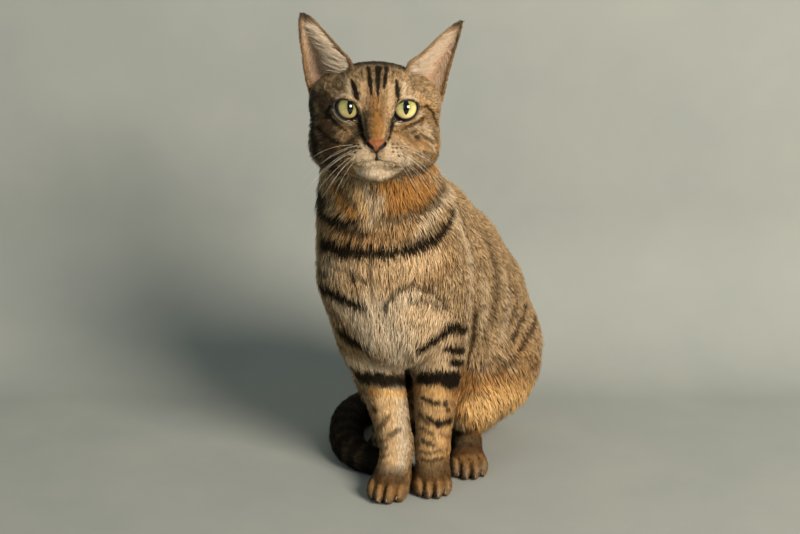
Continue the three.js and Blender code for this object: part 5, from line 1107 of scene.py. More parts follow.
    ("d", [(-30.7, -8, 232), (-47.1, -0.4, 236.1), (-56.3, 8, 240), (-62.8, 18.5, 242.9), (-65.6, 30, 246), (-64.3, 42.2, 250.4), (-58, 54, 256), (-46.5, 63.4, 263.6)], [4, 4.3, 4.6, 4.4, 4.2, 3.8, 3.4, 3], 0.85, 0.4),
    ("d", [(13.7, -4, 246), (25, 4.7, 251.1), (31.1, 14, 256), (34.3, 24.6, 259.9), (33.7, 36, 264), (27.8, 47.9, 269.8), (11.8, 60, 276)], [2.4, 2.7, 3, 3, 3, 2.7, 2.4], 0.7, 0.4),
    ("d", [(30.8, 180, 46), (4.4, 171.9, 47.9), (-2.6, 164, 49), (-10.6, 150, 46)], [1.4, 1.9, 2.4, 1.4], 0.6, 0.4),
    ("d", [(2.8, 180, 34), (-0.9, 171.9, 35.9), (-4, 164, 37), (-4.4, 150, 34)], [1.4, 1.9, 2.4, 1.4], 0.6, 0.4),
    # on each paw: the dark lines between the toes are painted shade in the gaps, and the pale lines along the toes are
    # painted light on their tops
    ("d", [(-20, -2.1, 16.6), (-20.6, -10.1, 14.6), (-20.9, -13.6, 10.6), (-21, -14.6, 5.6)], [1.3, 1.9, 1.9, 1.5], 0.85, 0.55),
    ("d", [(-12.3, -7.3, 16.6), (-12.9, -15.2, 14.6), (-13.2, -18.7, 10.6), (-13.3, -19.7, 5.6)], [1.3, 1.9, 1.9, 1.5], 0.85, 0.55),
    ("d", [(-3.1, -6.3, 16.6), (-3.7, -14.3, 14.6), (-4, -17.8, 10.6), (-4, -18.8, 5.6)], [1.3, 1.9, 1.9, 1.5], 0.85, 0.55),
    ("p", [(-23.5, -2, 15.6), (-24, -8, 12.6), (-24.2, -11, 8.1)], [1.6, 2.2, 2.2], 0.3, 0.6),
    ("p", [(-17.1, -10.1, 15.6), (-17.6, -16.1, 12.6), (-17.8, -19.1, 8.1)], [1.6, 2.2, 2.2], 0.3, 0.6),
    ("p", [(-8.1, -12.4, 15.6), (-8.6, -18.4, 12.6), (-8.8, -21.4, 8.1)], [1.6, 2.2, 2.2], 0.3, 0.6),
    ("p", [(1.3, -8.2, 15.6), (0.9, -14.2, 12.6), (0.7, -17.2, 8.1)], [1.6, 2.2, 2.2], 0.3, 0.6),
    ("d", [(18.9, 5.7, 16.2), (20.5, -2.2, 14.2), (21.2, -5.6, 10.2), (21.4, -6.6, 5.2)], [1.3, 1.9, 1.9, 1.5], 0.85, 0.55),
    ("d", [(27.3, 2.9, 16.2), (28.9, -4.9, 14.2), (29.6, -8.3, 10.2), (29.8, -9.3, 5.2)], [1.3, 1.9, 1.9, 1.5], 0.85, 0.55),
    ("d", [(35.5, 6.2, 16.2), (37.1, -1.6, 14.2), (37.8, -5, 10.2), (38, -6, 5.2)], [1.3, 1.9, 1.9, 1.5], 0.85, 0.55),
    ("p", [(15.7, 4.6, 15.2), (16.9, -1.3, 12.2), (17.5, -4.2, 7.7)], [1.6, 2.2, 2.2], 0.3, 0.6),
    ("p", [(23.7, -1.1, 15.2), (24.9, -7, 12.2), (25.5, -9.9, 7.7)], [1.6, 2.2, 2.2], 0.3, 0.6),
    ("p", [(32.5, -0.8, 15.2), (33.7, -6.7, 12.2), (34.3, -9.6, 7.7)], [1.6, 2.2, 2.2], 0.3, 0.6),
    ("p", [(40.1, 5.5, 15.2), (41.3, -0.4, 12.2), (41.9, -3.4, 7.7)], [1.6, 2.2, 2.2], 0.3, 0.6),
    ("d", [(51.6, 47.1, 16.4), (53.5, 39.4, 14.4), (54.4, 36, 10.4), (54.6, 35, 5.4)], [1.3, 1.9, 1.9, 1.5], 0.85, 0.55),
    ("d", [(60.3, 44.7, 16.4), (62.2, 36.9, 14.4), (63, 33.5, 10.4), (63.3, 32.5, 5.4)], [1.3, 1.9, 1.9, 1.5], 0.85, 0.55),
    ("d", [(68.5, 48.3, 16.4), (70.4, 40.5, 14.4), (71.2, 37.1, 10.4), (71.5, 36.2, 5.4)], [1.3, 1.9, 1.9, 1.5], 0.85, 0.55),
    ("p", [(48.4, 46, 15.4), (49.8, 40.2, 12.4), (50.5, 37.3, 7.9)], [1.6, 2.2, 2.2], 0.3, 0.6),
    ("p", [(56.8, 40.5, 15.4), (58.2, 34.6, 12.4), (58.9, 31.7, 7.9)], [1.6, 2.2, 2.2], 0.3, 0.6),
    ("p", [(65.7, 41.1, 15.4), (67.1, 35.3, 12.4), (67.9, 32.4, 7.9)], [1.6, 2.2, 2.2], 0.3, 0.6),
    ("p", [(73.2, 47.8, 15.4), (74.6, 41.9, 12.4), (75.4, 39, 7.9)], [1.6, 2.2, 2.2], 0.3, 0.6),
    ("d", [(-22.3, 91.4, 16.4), (-22.3, 83.4, 14.4), (-22.3, 79.9, 10.4), (-22.3, 78.9, 5.4)], [1.3, 1.9, 1.9, 1.5], 0.85, 0.55),
    ("d", [(-14.5, 86.9, 16.4), (-14.5, 78.9, 14.4), (-14.5, 75.4, 10.4), (-14.5, 74.4, 5.4)], [1.3, 1.9, 1.9, 1.5], 0.85, 0.55),
    ("d", [(-5.6, 88.5, 16.4), (-5.6, 80.5, 14.4), (-5.6, 77, 10.4), (-5.7, 76, 5.4)], [1.3, 1.9, 1.9, 1.5], 0.85, 0.55),
    ("p", [(-25.7, 91.1, 15.4), (-25.7, 85.1, 12.4), (-25.7, 82.1, 7.9)], [1.6, 2.2, 2.2], 0.3, 0.6),
    ("p", [(-18.9, 83.7, 15.4), (-18.9, 77.7, 12.4), (-18.9, 74.7, 7.9)], [1.6, 2.2, 2.2], 0.3, 0.6),
    ("p", [(-10.1, 82.2, 15.4), (-10.1, 76.2, 12.4), (-10.1, 73.2, 7.9)], [1.6, 2.2, 2.2], 0.3, 0.6),
    ("p", [(-1.2, 86.8, 15.4), (-1.2, 80.8, 12.4), (-1.2, 77.8, 7.9)], [1.6, 2.2, 2.2], 0.3, 0.6),
    ("d", [(-29.5, -28.5, 367.2), (-28.6, -35.5, 362)], 1, 0.6, 0.5),
    ("d", [(-5.4, -26.1, 366.9), (-6.2, -35, 360.4)], 0.9, 0.6, 0.5),
    ("d", [(-43.6, -24.6, 363.5), (-37.4, -22.5, 368.7), (-29.7, -17.4, 370.3), (-22, -13.2, 371.3)], [3.1, 3.5, 3.1, 2.4], 0.5, 0.6),
    ("d", [(-14.1, -10.8, 371), (-8.8, -9.7, 370.2), (-3.9, -4.8, 368.6), (3.1, -11.3, 366.4), (9.4, -17.1, 362.5)], [2.4, 2.8, 3.2, 3.5, 3.1], 0.5, 0.6),
    ("d", [(-57.6, -29, 348.5), (-55, -27.7, 352.8), (-52.2, -26, 356.7), (-44.4, -25, 362.8)], [4.7, 4.9, 5.1, 3.9], 0.55, 0.6),
    ("d", [(9.4, -22.4, 360.1), (15.6, -22.2, 355.3), (21.9, -23.8, 347.7)], [3.1, 3.9, 3.9], 0.3, 0.6),
    ("d", [(-13.2, -26.5, 368.5), (-13.5, -34.4, 363.4), (-13.9, -38.6, 357.8)], [1.2, 1.1, 0.9], 0.35, 0.6),
    ("d", [(-20.6, -27.4, 368.6), (-20.3, -34.3, 364.1), (-20, -38.3, 359.3)], [0.9, 0.8, 0.8], 0.35, 0.6),
    ("w", [(-24.8, -29.5, 367.3), (-23.9, -38.2, 359.3)], 1.1, 0.5, 0.5),
    ("w", [(-12.4, -35.5, 362), (-13.1, -38.9, 357.1), (-13.9, -40.9, 352)], 1.1, 0.35, 0.6)]
PATCHES += [
    ("d", (14, -34.5, 317.2), (2, 2, 2), 0.9, 0.35),
    ("d", (-41.6, -39, 311.8), (1.2, 1.2, 0.9), 1, 0.4),
    ("d", (-38.1, -50.9, 314), (1.2, 1.2, 0.8), 1, 0.4),
    ("d", (-34.9, -55.5, 314.9), (1.2, 1.2, 0.8), 1, 0.4),
    ("d", (-32.2, -57.3, 315.2), (1.1, 1.1, 0.8), 1, 0.4),
    ("d", (-5, -55.7, 315.2), (1.2, 1.2, 0.8), 1, 0.4),
    ("d", (-1.9, -52.9, 314.7), (1.2, 1.2, 0.8), 1, 0.4),
    ("d", (1.2, -42.8, 312.8), (1.2, 1.2, 0.9), 1, 0.4),
    ("d", (-43.6, -39, 308.8), (1.2, 1.2, 0.9), 1, 0.4),
    ("d", (-40, -52.7, 311.4), (1.2, 1.2, 0.8), 1, 0.4),
    ("d", (-36.8, -57.6, 312.3), (1.2, 1.2, 0.8), 1, 0.4),
    ("d", (-33.7, -59.7, 312.7), (1.1, 1.1, 0.8), 1, 0.4),
    ("d", (-31, -60.8, 312.9), (1.1, 1.1, 0.8), 1, 0.4),
    ("d", (-5.4, -59.2, 312.9), (1.1, 1.1, 0.8), 1, 0.4),
    ("d", (-2.3, -57.4, 312.5), (1.2, 1.2, 0.8), 1, 0.4),
    ("d", (0.8, -54.2, 311.9), (1.2, 1.2, 0.8), 1, 0.4),
    ("d", (3.9, -38.3, 308.9), (1.2, 1.2, 0.9), 1, 0.4),
    ("d", (-45.2, -38.6, 305.6), (1.2, 1.2, 0.9), 1, 0.4),
    ("d", (-41.2, -53.8, 308.5), (1.2, 1.2, 0.8), 1, 0.4),
    ("d", (-37.5, -59.5, 309.6), (1.1, 1.1, 0.8), 1, 0.4),
    ("d", (-34.4, -61.5, 310), (1.1, 1.1, 0.8), 1, 0.4),
    ("d", (-5, -61.2, 310.1), (1.1, 1.1, 0.8), 1, 0.4),
    ("d", (-1.5, -59.5, 309.8), (1.1, 1.1, 0.8), 1, 0.4),
    ("d", (1.9, -56, 309.2), (1.2, 1.2, 0.8), 1, 0.4),
    ("d", (-42.2, -47.5, 304.1), (1.2, 1.2, 0.9), 1, 0.4),
    ("d", (-38.3, -59.7, 306.5), (1.1, 1.1, 0.8), 1, 0.4),
    ("d", (-0.8, -60.1, 306.8), (1.1, 1.1, 0.8), 1, 0.4),
    ("d", (2.7, -56.3, 306.1), (1.2, 1.2, 0.8), 1, 0.4),
    ("d", (-36.9, -1.9, 194.2), (2.5, 4.1, 4.1), 0.95, 0.35),
    ("d", (-27.8, -5.7, 191.8), (2, 3.3, 3.3), 0.85, 0.35),
    ("d", (-27.2, -4.5, 167.2), (2.6, 2.6, 2.6), 0.9, 0.35),
    ("d", (-21.4, 21.6, 69.8), (2.7, 2.7, 2.7), 0.9, 0.35),
    ("d", (-23.9, 115.6, 16.7), (2.2, 2.2, 2.2), 0.7, 0.35),
    ("d", (40.1, 20.9, 70.1), (2.5, 2.5, 2.5), 0.9, 0.35),
    ("d", (18, 20.8, 53.7), (1.6, 1.6, 1.6), 0.8, 0.35),
    ("d", (29, 14.1, 46.3), (1.5, 1.5, 1.5), 0.7, 0.35),
    ("d", (38.4, 20.1, 75.8), (2.7, 2.7, 2.7), 0.9, 0.35),
    ("d", (-63.5, 10.2, 366.2), (16, 12, 16), 0.5, 0.6),
    ("d", (-75.6, -5.1, 398.8), (9, 9, 11), 0.8, 0.6),
    ("p", (-71.1, 8, 378.5), (7, 6, 9), 0.55, 0.6),
    ("d", (28.5, 12, 364.3), (16, 12, 16), 0.5, 0.6),
    ("d", (43.3, -3.4, 392.3), (9, 9, 11), 0.8, 0.6),
    ("p", (35.9, 10.3, 374.2), (7, 6, 9), 0.55, 0.6),
    ("d", (-19.5, 2.5, 372.6), (42, 24, 11), 0.95, 0.5)]

# ---------------------------------------------------------------- tufts of fur, each a closed sliver of six faces
def hair_length(coat): return 1.3 + 1.85 * coat
def hair_width(coat): return .20 + .07 * coat


TUFT = np.array([[0, 2, 3], [0, 3, 1], [2, 4, 3], [4, 1, 3], [0, 1, 2], [1, 4, 2]])     # root, left, right, ridge, tip
PATCH = np.array([[0, -.5], [-.5, 0], [.5, 0], [0, 0], [0, .5]]) * .003


def roots(V, F, weight, n, rng):
    """n points spread over the faces by area times weight: face, barycentric"""
    area = np.linalg.norm(np.cross(V[F[:, 1]] - V[F[:, 0]], V[F[:, 2]] - V[F[:, 0]]), axis=1) * weight
    cum = np.cumsum(area); u = (np.arange(n) + rng.random(n)) / n * cum[-1]
    f = np.minimum(np.searchsorted(cum, u), len(F) - 1)
    a, b = rng.random(n), rng.random(n); m = a + b > 1; a[m], b[m] = 1 - a[m], 1 - b[m]
    return f, np.column_stack([1 - a - b, a, b])


class Skin:
    pass


def tufts(S, faces, weight, n, rng, uv, clump=5.0, spread=9.0, grow=1.0, rise=1.0):
    """n tufts over those faces -> vertices, colour data and corner coordinates"""
    F = S.F[faces]
    f, bary = roots(S.V, F, weight, n, rng)
    T = F[f]; mix = lambda A: (A[T] * bary[..., None]).sum(1) if A.ndim > 1 else (A[T] * bary).sum(1)
    P, N, D, coat = mix(S.V), unit(mix(S.N)), mix(S.lie), mix(S.coat)
    D = unit(D - N * (D * N).sum(1, keepdims=True))
    L = hair_length(coat) * (.72 + .56 * rng.random(n)) * grow
    w = hair_width(coat) * (.75 + .5 * rng.random(n))
    h = coat * (.34 + .56 * rng.random(n) ** 1.6) * rise
    # neighbours lean together into small locks
    size = np.clip(L * .42, 1.1, clump)
    key = np.argsort(rng.random(n))[: max(8, int(n / 6))]
    kd = KDTree(len(key))
    for j, i in enumerate(key): kd.insert(P[i], j)
    kd.balance()
    near = np.empty(n, int)
    for i in range(n): near[i] = kd.find(P[i])[1]
    seed = key[near]
    lock = rng.random(len(key))[near]; turn = rng.normal(0, 1, len(key))[near]
    ang = np.radians(spread) * (.75 * rng.normal(0, 1, n) + .8 * turn)
    side = np.cross(N, D)
    D = D * np.cos(ang)[:, None] + side * np.sin(ang)[:, None]
    side = np.cross(N, D)
    off = P - P[seed]; off -= N * (off * N).sum(1, keepdims=True)
    far = np.linalg.norm(off, axis=1, keepdims=True); off *= np.minimum(1, 3.0 / np.maximum(far, 1e-6))
    h = h * (.8 + .4 * lock)
    near_skin = S.near
    M = P + D * (.45 * L)[:, None] - off * .16
    k = near_skin(M); Nk = S.N[k]
    gap = ((M - S.V[k]) * Nk).sum(1)
    M += Nk * (np.maximum(h * .72, .12) - np.clip(gap, -4, 4))[:, None]
    D2 = unit(.5 * D + .5 * (S.lie[k] * np.cos(ang)[:, None] + np.cross(Nk, S.lie[k]) * np.sin(ang)[:, None]))
    Tp = M + D2 * (.55 * L)[:, None] - off * .24
    j = near_skin(Tp); Nj = S.N[j]
    gap = ((Tp - S.V[j]) * Nj).sum(1)
    Tp += Nj * (np.maximum(h, .1) - np.clip(gap, -4, 4))[:, None]
    R0 = P - N * .35
    half = (side * (w * .5)[:, None])
    ML, MR, MT = M + half, M - half, M + Nk * (w * .34)[:, None]
    X = np.stack([R0, ML, MR, MT, Tp], 1)
    X[..., 2] = np.maximum(X[..., 2], .25)
    nrm = np.stack([N - D * .15, Nk + side * .55, Nk - side * .55, Nk, Nj + D2 * .3], 1)
    seen = P + D * (.72 * L)[:, None]
    ex = mix(S.extra)
    mk = np.maximum(marks_with_painted_shade_and_light(seen) * (1 - ex[:, 3:]), ex[:, :3])
    tint = rng.random(n)
    col = np.zeros((n, 5, 4), np.float32)
    col[..., 0] = np.array([0, .45, .45, .45, 1.0]); col[..., 1] = tint[:, None]; col[..., 2] = lock[:, None]; col[..., 3] = 1
    UV = (uv[faces[f]] * bary[..., None]).sum(1)
    return X, unit(nrm), mk, col, UV


def tuft_mesh(name, X, nrm, mk, col, UV, mat):
    n = len(X)
    me = bpy.data.meshes.new(name)
    me.vertices.add(n * 5); me.vertices.foreach_set("co", row(X).reshape(-1, 3).astype(np.float32).ravel())
    tri = (TUFT[None] + (np.arange(n) * 5)[:, None, None]).reshape(-1, 3)
    me.loops.add(tri.size); me.loops.foreach_set("vertex_index", tri.ravel().astype(np.int32))
    me.polygons.add(len(tri)); me.polygons.foreach_set("loop_start", (np.arange(len(tri)) * 3).astype(np.int32))
    uvl = me.uv_layers.new(name="OFBake")
    q = UV[:, None, None] + PATCH[TUFT][None]
    uvl.data.foreach_set("uv", np.clip(q, .0005, .9995).astype(np.float32).ravel())
    a = me.color_attributes.new("lock", "FLOAT_COLOR", "POINT"); a.data.foreach_set("color", col.reshape(-1).astype(np.float32))
    m4 = np.ones((n, 5, 4), np.float32); m4[..., :3] = mk[:, None]
    a = me.color_attributes.new("marks_with_painted_shade_and_light", "FLOAT_COLOR", "POINT"); a.data.foreach_set("color", m4.ravel())
    me.materials.append(mat)
    me.update(calc_edges=True)
    me.polygons.foreach_set("use_smooth", np.ones(len(tri), bool))
    me.normals_split_custom_set_from_vertices(nrm.reshape(-1, 3).tolist())
    ob = bpy.data.objects.new(name, me); bpy.context.scene.collection.objects.link(ob)
    return ob


def mesh_object(name, V, F, mat, smooth_shade=True):
    me = bpy.data.meshes.new(name)
    F = np.asarray(F)
    me.vertices.add(len(V)); me.vertices.foreach_set("co", row(V).astype(np.float32).ravel())
    me.loops.add(F.size); me.loops.foreach_set("vertex_index", F.ravel().astype(np.int32))
    me.polygons.add(len(F)); me.polygons.foreach_set("loop_start", (np.arange(len(F)) * F.shape[1]).astype(np.int32))
    me.materials.append(mat); me.update(calc_edges=True)
    me.polygons.foreach_set("use_smooth", np.full(len(F), smooth_shade, bool))
    ob = bpy.data.objects.new(name, me); bpy.context.scene.collection.objects.link(ob)
    return ob


def point_colour(ob, name, A):
    a = ob.data.color_attributes.new(name, "FLOAT_COLOR", "POINT")
    c = np.ones((len(A), 4), np.float32); c[:, :A.shape[1]] = A
    a.data.foreach_set("color", c.ravel())



# ---------------------------------------------------------------- materials
class Nodes:
    """a small writer for node trees"""

    def __init__(self, name):
        self.mat = bpy.data.materials.new(name); self.mat.use_nodes = True
        self.t = self.mat.node_tree; self.t.nodes.clear()
        self.out = self.t.nodes.new("ShaderNodeOutputMaterial")
        self.b = self.t.nodes.new("ShaderNodeBsdfPrincipled")
        self.t.links.new(self.b.outputs[0], self.out.inputs[0])

    def put(self, socket, v):
        if isinstance(v, bpy.types.NodeSocket): self.t.links.new(v, socket)
        elif isinstance(v, (tuple, list)) and len(v) == 3 and socket.type == "RGBA": socket.default_value = (*v, 1)
        else: socket.default_value = v

    def node(self, kind, inputs=(), **props):
        n = self.t.nodes.new("ShaderNode" + kind)
        for k, v in props.items(): setattr(n, k, v)
        for k, v in dict(inputs).items(): self.put(n.inputs[k], v)
        return n

    def set(self, **inputs):
        for k, v in inputs.items(): self.put(self.b.inputs[k.replace("_", " ")], v)

    def attr(self, name, what="Color"):
        return self.node("Attribute", attribute_name=name, attribute_type="GEOMETRY").outputs[what]

    def split(self, colour):
        return self.node("SeparateColor", {0: colour}).outputs

    def math(self, op, a, b=0.0, clamp=False):
        return self.node("Math", {0: a, 1: b}, operation=op, use_clamp=clamp).outputs[0]

    def ramp(self, fac, stops, interpolation="LINEAR"):
        n = self.node("ValToRGB", {0: fac}); r = n.color_ramp; r.interpolation = interpolation
        while len(r.elements) > 1: r.elements.remove(r.elements[-1])
        for i, (p, c) in enumerate(stops):
            e = r.elements[0] if i == 0 else r.elements.new(p)
            e.position = p; e.color = (*c, 1) if len(c) == 3 else c
        return n.outputs[0]

    def mix(self, fac, a, b, mode="MIX"):
        n = self.node("Mix", data_type="RGBA", blend_type=mode, clamp_factor=True)
        self.put(n.inputs[0], fac); self.put(n.inputs[6], a); self.put(n.inputs[7], b)
        return n.outputs[2]

    def noise(self, scale, detail=3.0, rough=.55, vector=None, out=0):
        v = vector if vector is not None else self.node("TexCoord").outputs["Object"]
        return self.node("TexNoise", {"Vector": v, "Scale": scale, "Detail": detail, "Roughness": rough}).outputs[out]

    def bump(self, height, strength, distance):
        return self.node("Bump", {"Height": height, "Strength": strength, "Distance": distance}).outputs[0]

    def scale(self, colour, k):
        """colour times a number socket"""
        c = self.node("CombineColor", {0: k, 1: k, 2: k}).outputs[0]
        return self.mix(1.0, colour, c, "MULTIPLY")


def srgb(r, g, b):
    return tuple((x / 255 / 12.92) if x <= 10 else (((x / 255) + .055) / 1.055) ** 2.4 for x in (r, g, b))


AGOUTI = dict(root=(.085, .052, .026), mid=(.195, .122, .060), band=(.43, .290, .155), tip=(.120, .074, .037))
WARM = dict(root=(.20, .088, .022), mid=(.29, .130, .034), band=(.40, .190, .052), tip=(.29, .125, .031))
PALE = dict(root=(.49, .365, .235), mid=(.58, .44, .295), band=(.69, .545, .385), tip=(.64, .50, .345))
APRICOT = dict(root=(.47, .27, .105), mid=(.62, .365, .145), band=(.78, .475, .195), tip=(.68, .40, .155))
DARK = dict(root=(.009, .0055, .002), mid=(.007, .0045, .0016), band=(.013, .0075, .0025), tip=(.005, .0032, .0012))


def coat_colour(N, along, tint, lock, marks_attr="marks_with_painted_shade_and_light"):
    """the coat's colour from the markings with their painted shade and light, the place along the hair and the tuft's
    own shade
    """
    m = N.split(N.attr(marks_attr))
    shift = N.math("MULTIPLY_ADD", tint, .26)
    shift.node.inputs[2].default_value = -.13
    clump = N.math("MULTIPLY_ADD", lock, .52)
    clump.node.inputs[2].default_value = -.30
    shift = N.math("ADD", shift, clump)
    a = N.math("ADD", along, shift, clamp=True)

    def hair(c): return N.ramp(a, [(0, c["root"]), (.34, c["mid"]), (.66, c["band"]), (.86, c["band"]), (1, c["tip"])])
    col = hair(AGOUTI)
    col = N.mix(m[1], col, hair(WARM))
    col = N.mix(m[2], col, N.mix(m[1], hair(PALE), hair(APRICOT)))
    col = N.mix(m[0], col, hair(DARK))
    return col


def coat_material(name, gain=1.0):
    N = Nodes(name)
    k = N.split(N.attr("lock"))
    col = coat_colour(N, k[0], k[1], k[2])
    big = N.noise(38.0, 3.0, .6)
    shade = N.math("MULTIPLY_ADD", k[2], .24)
    shade.node.inputs[2].default_value = .86 * gain
    shade = N.math("ADD", shade, N.math("MULTIPLY", N.math("SUBTRACT", big, .5), .5))
    col = N.scale(col, shade)
    fine = N.noise(1400.0, 2.0, .6)
    rough = N.math("MULTIPLY_ADD", fine, .3); rough.node.inputs[2].default_value = .50
    N.set(Base_Color=col, Roughness=rough, Normal=N.bump(fine, .35, .0004))
    N.b.inputs["Specular IOR Level"].default_value = .13
    return N.mat


def skin_material(name):
    """bare places show: nose, eye rims, inner ears, lips; elsewhere the ground of the coat"""
    N = Nodes(name)
    hair = N.node("TexNoise", {"Vector": N.attr("grain", "Vector"), "Scale": 1.0, "Detail": 3.0, "Roughness": .6}).outputs[0]
    along = N.math("MULTIPLY_ADD", hair, .7); along.node.inputs[2].default_value = .18
    big = N.noise(60.0, 3.0, .6)
    col = coat_colour(N, along, big, big)
    shade = N.math("MULTIPLY_ADD", big, .4); shade.node.inputs[2].default_value = .66
    col = N.scale(col, shade)
    bare = N.split(N.attr("bare"))                     # leather, pink, black
    spot = N.noise(900.0, 2.0, .5)
    leather = N.ramp(N.noise(240.0, 4.0, .6), [(.3, (.150, .045, .013)), (.55, (.235, .075, .022)), (.75, (.31, .110, .036))])
    pink = N.ramp(N.noise(120.0, 4.0, .6), [(.3, (.30, .135, .090)), (.5, (.42, .205, .140)), (.75, (.50, .275, .20))])
    col = N.mix(bare[1], col, pink)
    col = N.mix(bare[0], col, leather)
    col = N.mix(bare[2], col, N.ramp(spot, [(.2, (.010, .008, .007)), (.8, (.026, .019, .016))]))
    pebble = N.node("TexVoronoi", {"Vector": N.node("TexCoord").outputs["Object"], "Scale": 1100.0}).outputs[0]
    hairy = N.math("SUBTRACT", 1.0, N.math("MAXIMUM", N.math("MAXIMUM", bare[0], bare[1]), bare[2]), clamp=True)
    h = N.math("ADD", N.math("MULTIPLY", hair, hairy), N.math("MULTIPLY", pebble, N.math("MULTIPLY", bare[0], .5)))
    wet = N.math("MULTIPLY", bare[0], -.22)
    rough = N.math("ADD", N.math("MULTIPLY_ADD", spot, .3), wet)
    rough.node.inputs[0].links[0].from_node.inputs[2].default_value = .5
    N.set(Base_Color=col, Roughness=rough, Normal=N.bump(h, .8, .0011))
    N.b.inputs["Specular IOR Level"].default_value = .3
    N.b.inputs["Subsurface Weight"].default_value = .12
    N.b.inputs["Subsurface Radius"].default_value = (.004, .0015, .001)
    N.b.inputs["Subsurface Scale"].default_value = .5
    return N.mat


def eye_material(name, warm, gain=1.0):
    """iris fibres, slit pupil and dark rim, from coordinates on the eyeball in millimetres"""
    N = Nodes(name)
    at = N.attr("iris", "Vector"); s = N.node("SeparateXYZ", {0: at}).outputs
    x, y = s[0], s[1]
    r = N.math("SQRT", N.math("ADD", N.math("MULTIPLY", x, x), N.math("MULTIPLY", y, y)))
    # the slit: a pointed oval from the scaled distances across and along it
    px = N.math("DIVIDE", N.math("ABSOLUTE", x), 2.2)
    py = N.math("POWER", N.math("DIVIDE", N.math("ABSOLUTE", y), 6.0), 2.0)
    slit = N.math("ADD", N.math("POWER", px, 1.55), py)  # 1 at the pupil's edge
    fib = N.node("TexNoise", {"Vector": N.attr("fibre", "Vector"), "Scale": 1.0, "Detail": 5.0, "Roughness": .65}).outputs[0]
    fleck = N.node("TexNoise", {"Vector": N.attr("fibre", "Vector"), "Scale": .35, "Detail": 3.0}).outputs[0]
    t = N.math("DIVIDE", r, 10.3)
    t2 = N.math("ADD", t, N.math("MULTIPLY", N.math("SUBTRACT", fib, .5), .22))
    iris = N.ramp(t2, [(.10, (.060, .070, .018)), (.26, (.12, .125, .034)), (.42, (.30, .265, .10)), (.66, (.45, .375, .175)), (.84, (.42, .33, .14)), (.93, (.04, .03, .015))])
    iris = N.mix(N.math("MULTIPLY", fleck, .35), iris, warm)
    # gain scales the iris's brightness; the eyes' different gains are painted light and painted shade
    light = N.math("MULTIPLY_ADD", fib, .9 * gain); light.node.inputs[2].default_value = .55 * gain
    iris = N.scale(iris, light)
    high = N.math("MULTIPLY_ADD", y, .05); high.node.inputs[2].default_value = .5
    lid_shade = N.ramp(high, [(.28, (1, 1, 1)), (.50, (.86, .90, .78)), (.66, (.52, .60, .42)), (.82, (.20, .25, .15)), (.95, (.08, .10, .06))])
    iris = N.mix(1.0, iris, lid_shade, "MULTIPLY")
    ring = N.ramp(N.math("SUBTRACT", slit, .98), [(0, (0, 0, 0)), (.06, (.3, .3, .3)), (.22, (1, 1, 1))])
    iris = N.mix(1.0, iris, ring, "MULTIPLY")
    edge = N.ramp(t, [(.94, (1, 1, 1)), (1.0, (0, 0, 0))])
    iris = N.mix(N.math("SUBTRACT", 1.0, edge), iris, (.012, .009, .008))
    N.set(Base_Color=iris)
    rough = N.math("MULTIPLY_ADD", fib, .03); rough.node.inputs[2].default_value = .035
    N.set(Roughness=rough, Normal=N.bump(fib, .04, .0002))
    N.b.inputs["IOR"].default_value = 1.38
    N.b.inputs["Coat Weight"].default_value = .6
    N.b.inputs["Coat Roughness"].default_value = .02
    return N.mat


def simple_material(name, lo, hi, scale, rough, spec=.4, bump=.2, dist=.0003, sheen=0.0):
    N = Nodes(name)
    n = N.noise(scale, 4.0, .6)
    N.set(Base_Color=N.ramp(n, [(.3, lo), (.7, hi)]))
    r = N.math("MULTIPLY_ADD", n, .2); r.node.inputs[2].default_value = rough - .1
    N.set(Roughness=r, Normal=N.bump(n, bump, dist))
    N.b.inputs["Specular IOR Level"].default_value = spec
    return N.mat



# ---------------------------------------------------------------- eyes, whiskers, claws
GAZE = {-1: (.235, -1, .19), 1: (.05, -1, .24)}


def eye(side, name, mat):
    g = unit(np.array(GAZE[side])); up = unit(np.array([0, 0, 1.0]) - g * g[2]); right = np.cross(g, up)
    nr, na = 72, 96
    V, at, fib = [], [], []
    for i in range(nr + 1):
        th = math.pi * (i / nr) ** 1.25
        for j in range(na):
            ph = 2 * math.pi * j / na
            d = math.cos(th) * g + math.sin(th) * (math.cos(ph) * right + math.sin(ph) * up)
            # cornea: a tighter sphere set forward, met smoothly
            c = math.cos(th); fwd = 2.7; rc = 8.55
            disc = rc * rc - fwd * fwd * (1 - c * c)
            r = EYE_R
            if disc > 0 and c > 0:
                r2 = fwd * c + math.sqrt(disc); k = .5; h = max(k - abs(r - r2), 0) / k
                r = max(r, r2) + h * h * k * .25
            V.append(d * r)
            rho = EYE_R * th if th < 1.5 else 20.0
            at.append((rho * math.cos(ph), rho * math.sin(ph), 0)); fib.append((math.cos(ph) * 9, math.sin(ph) * 9, rho * .35))
    V = np.array(V)
    F = []
    for i in range(nr):
        for j in range(na):
            a, b = i * na + j, i * na + (j + 1) % na
            F.append((a, b, b + na, a + na))
    F = np.array(F)[:, ::-1]; m = np.arange(len(V)); m[:na] = 0; m[nr * na:] = nr * na; F = m[F]       # one corner at each pole
    F = np.vstack([F[:, [0, 1, 2]], F[:, [0, 2, 3]]]); F = F[(F[:, 0] != F[:, 1]) & (F[:, 1] != F[:, 2]) & (F[:, 2] != F[:, 0])]
    keep = np.unique(F); m[keep] = np.arange(len(keep)); F = m[F]; V = V[keep]; at = np.array(at)[keep]; fib = np.array(fib)[keep]
    O = head_point([side * EYE_X, EYE_Y, EYE_Z])
    ob = mesh_object(name, O + V @ HR.T, F, mat)
    for nm, A in (("iris", at), ("fibre", fib)):
        a = ob.data.attributes.new(nm, "FLOAT_VECTOR", "POINT"); a.data.foreach_set("vector", np.array(A, np.float32).ravel())
    return ob


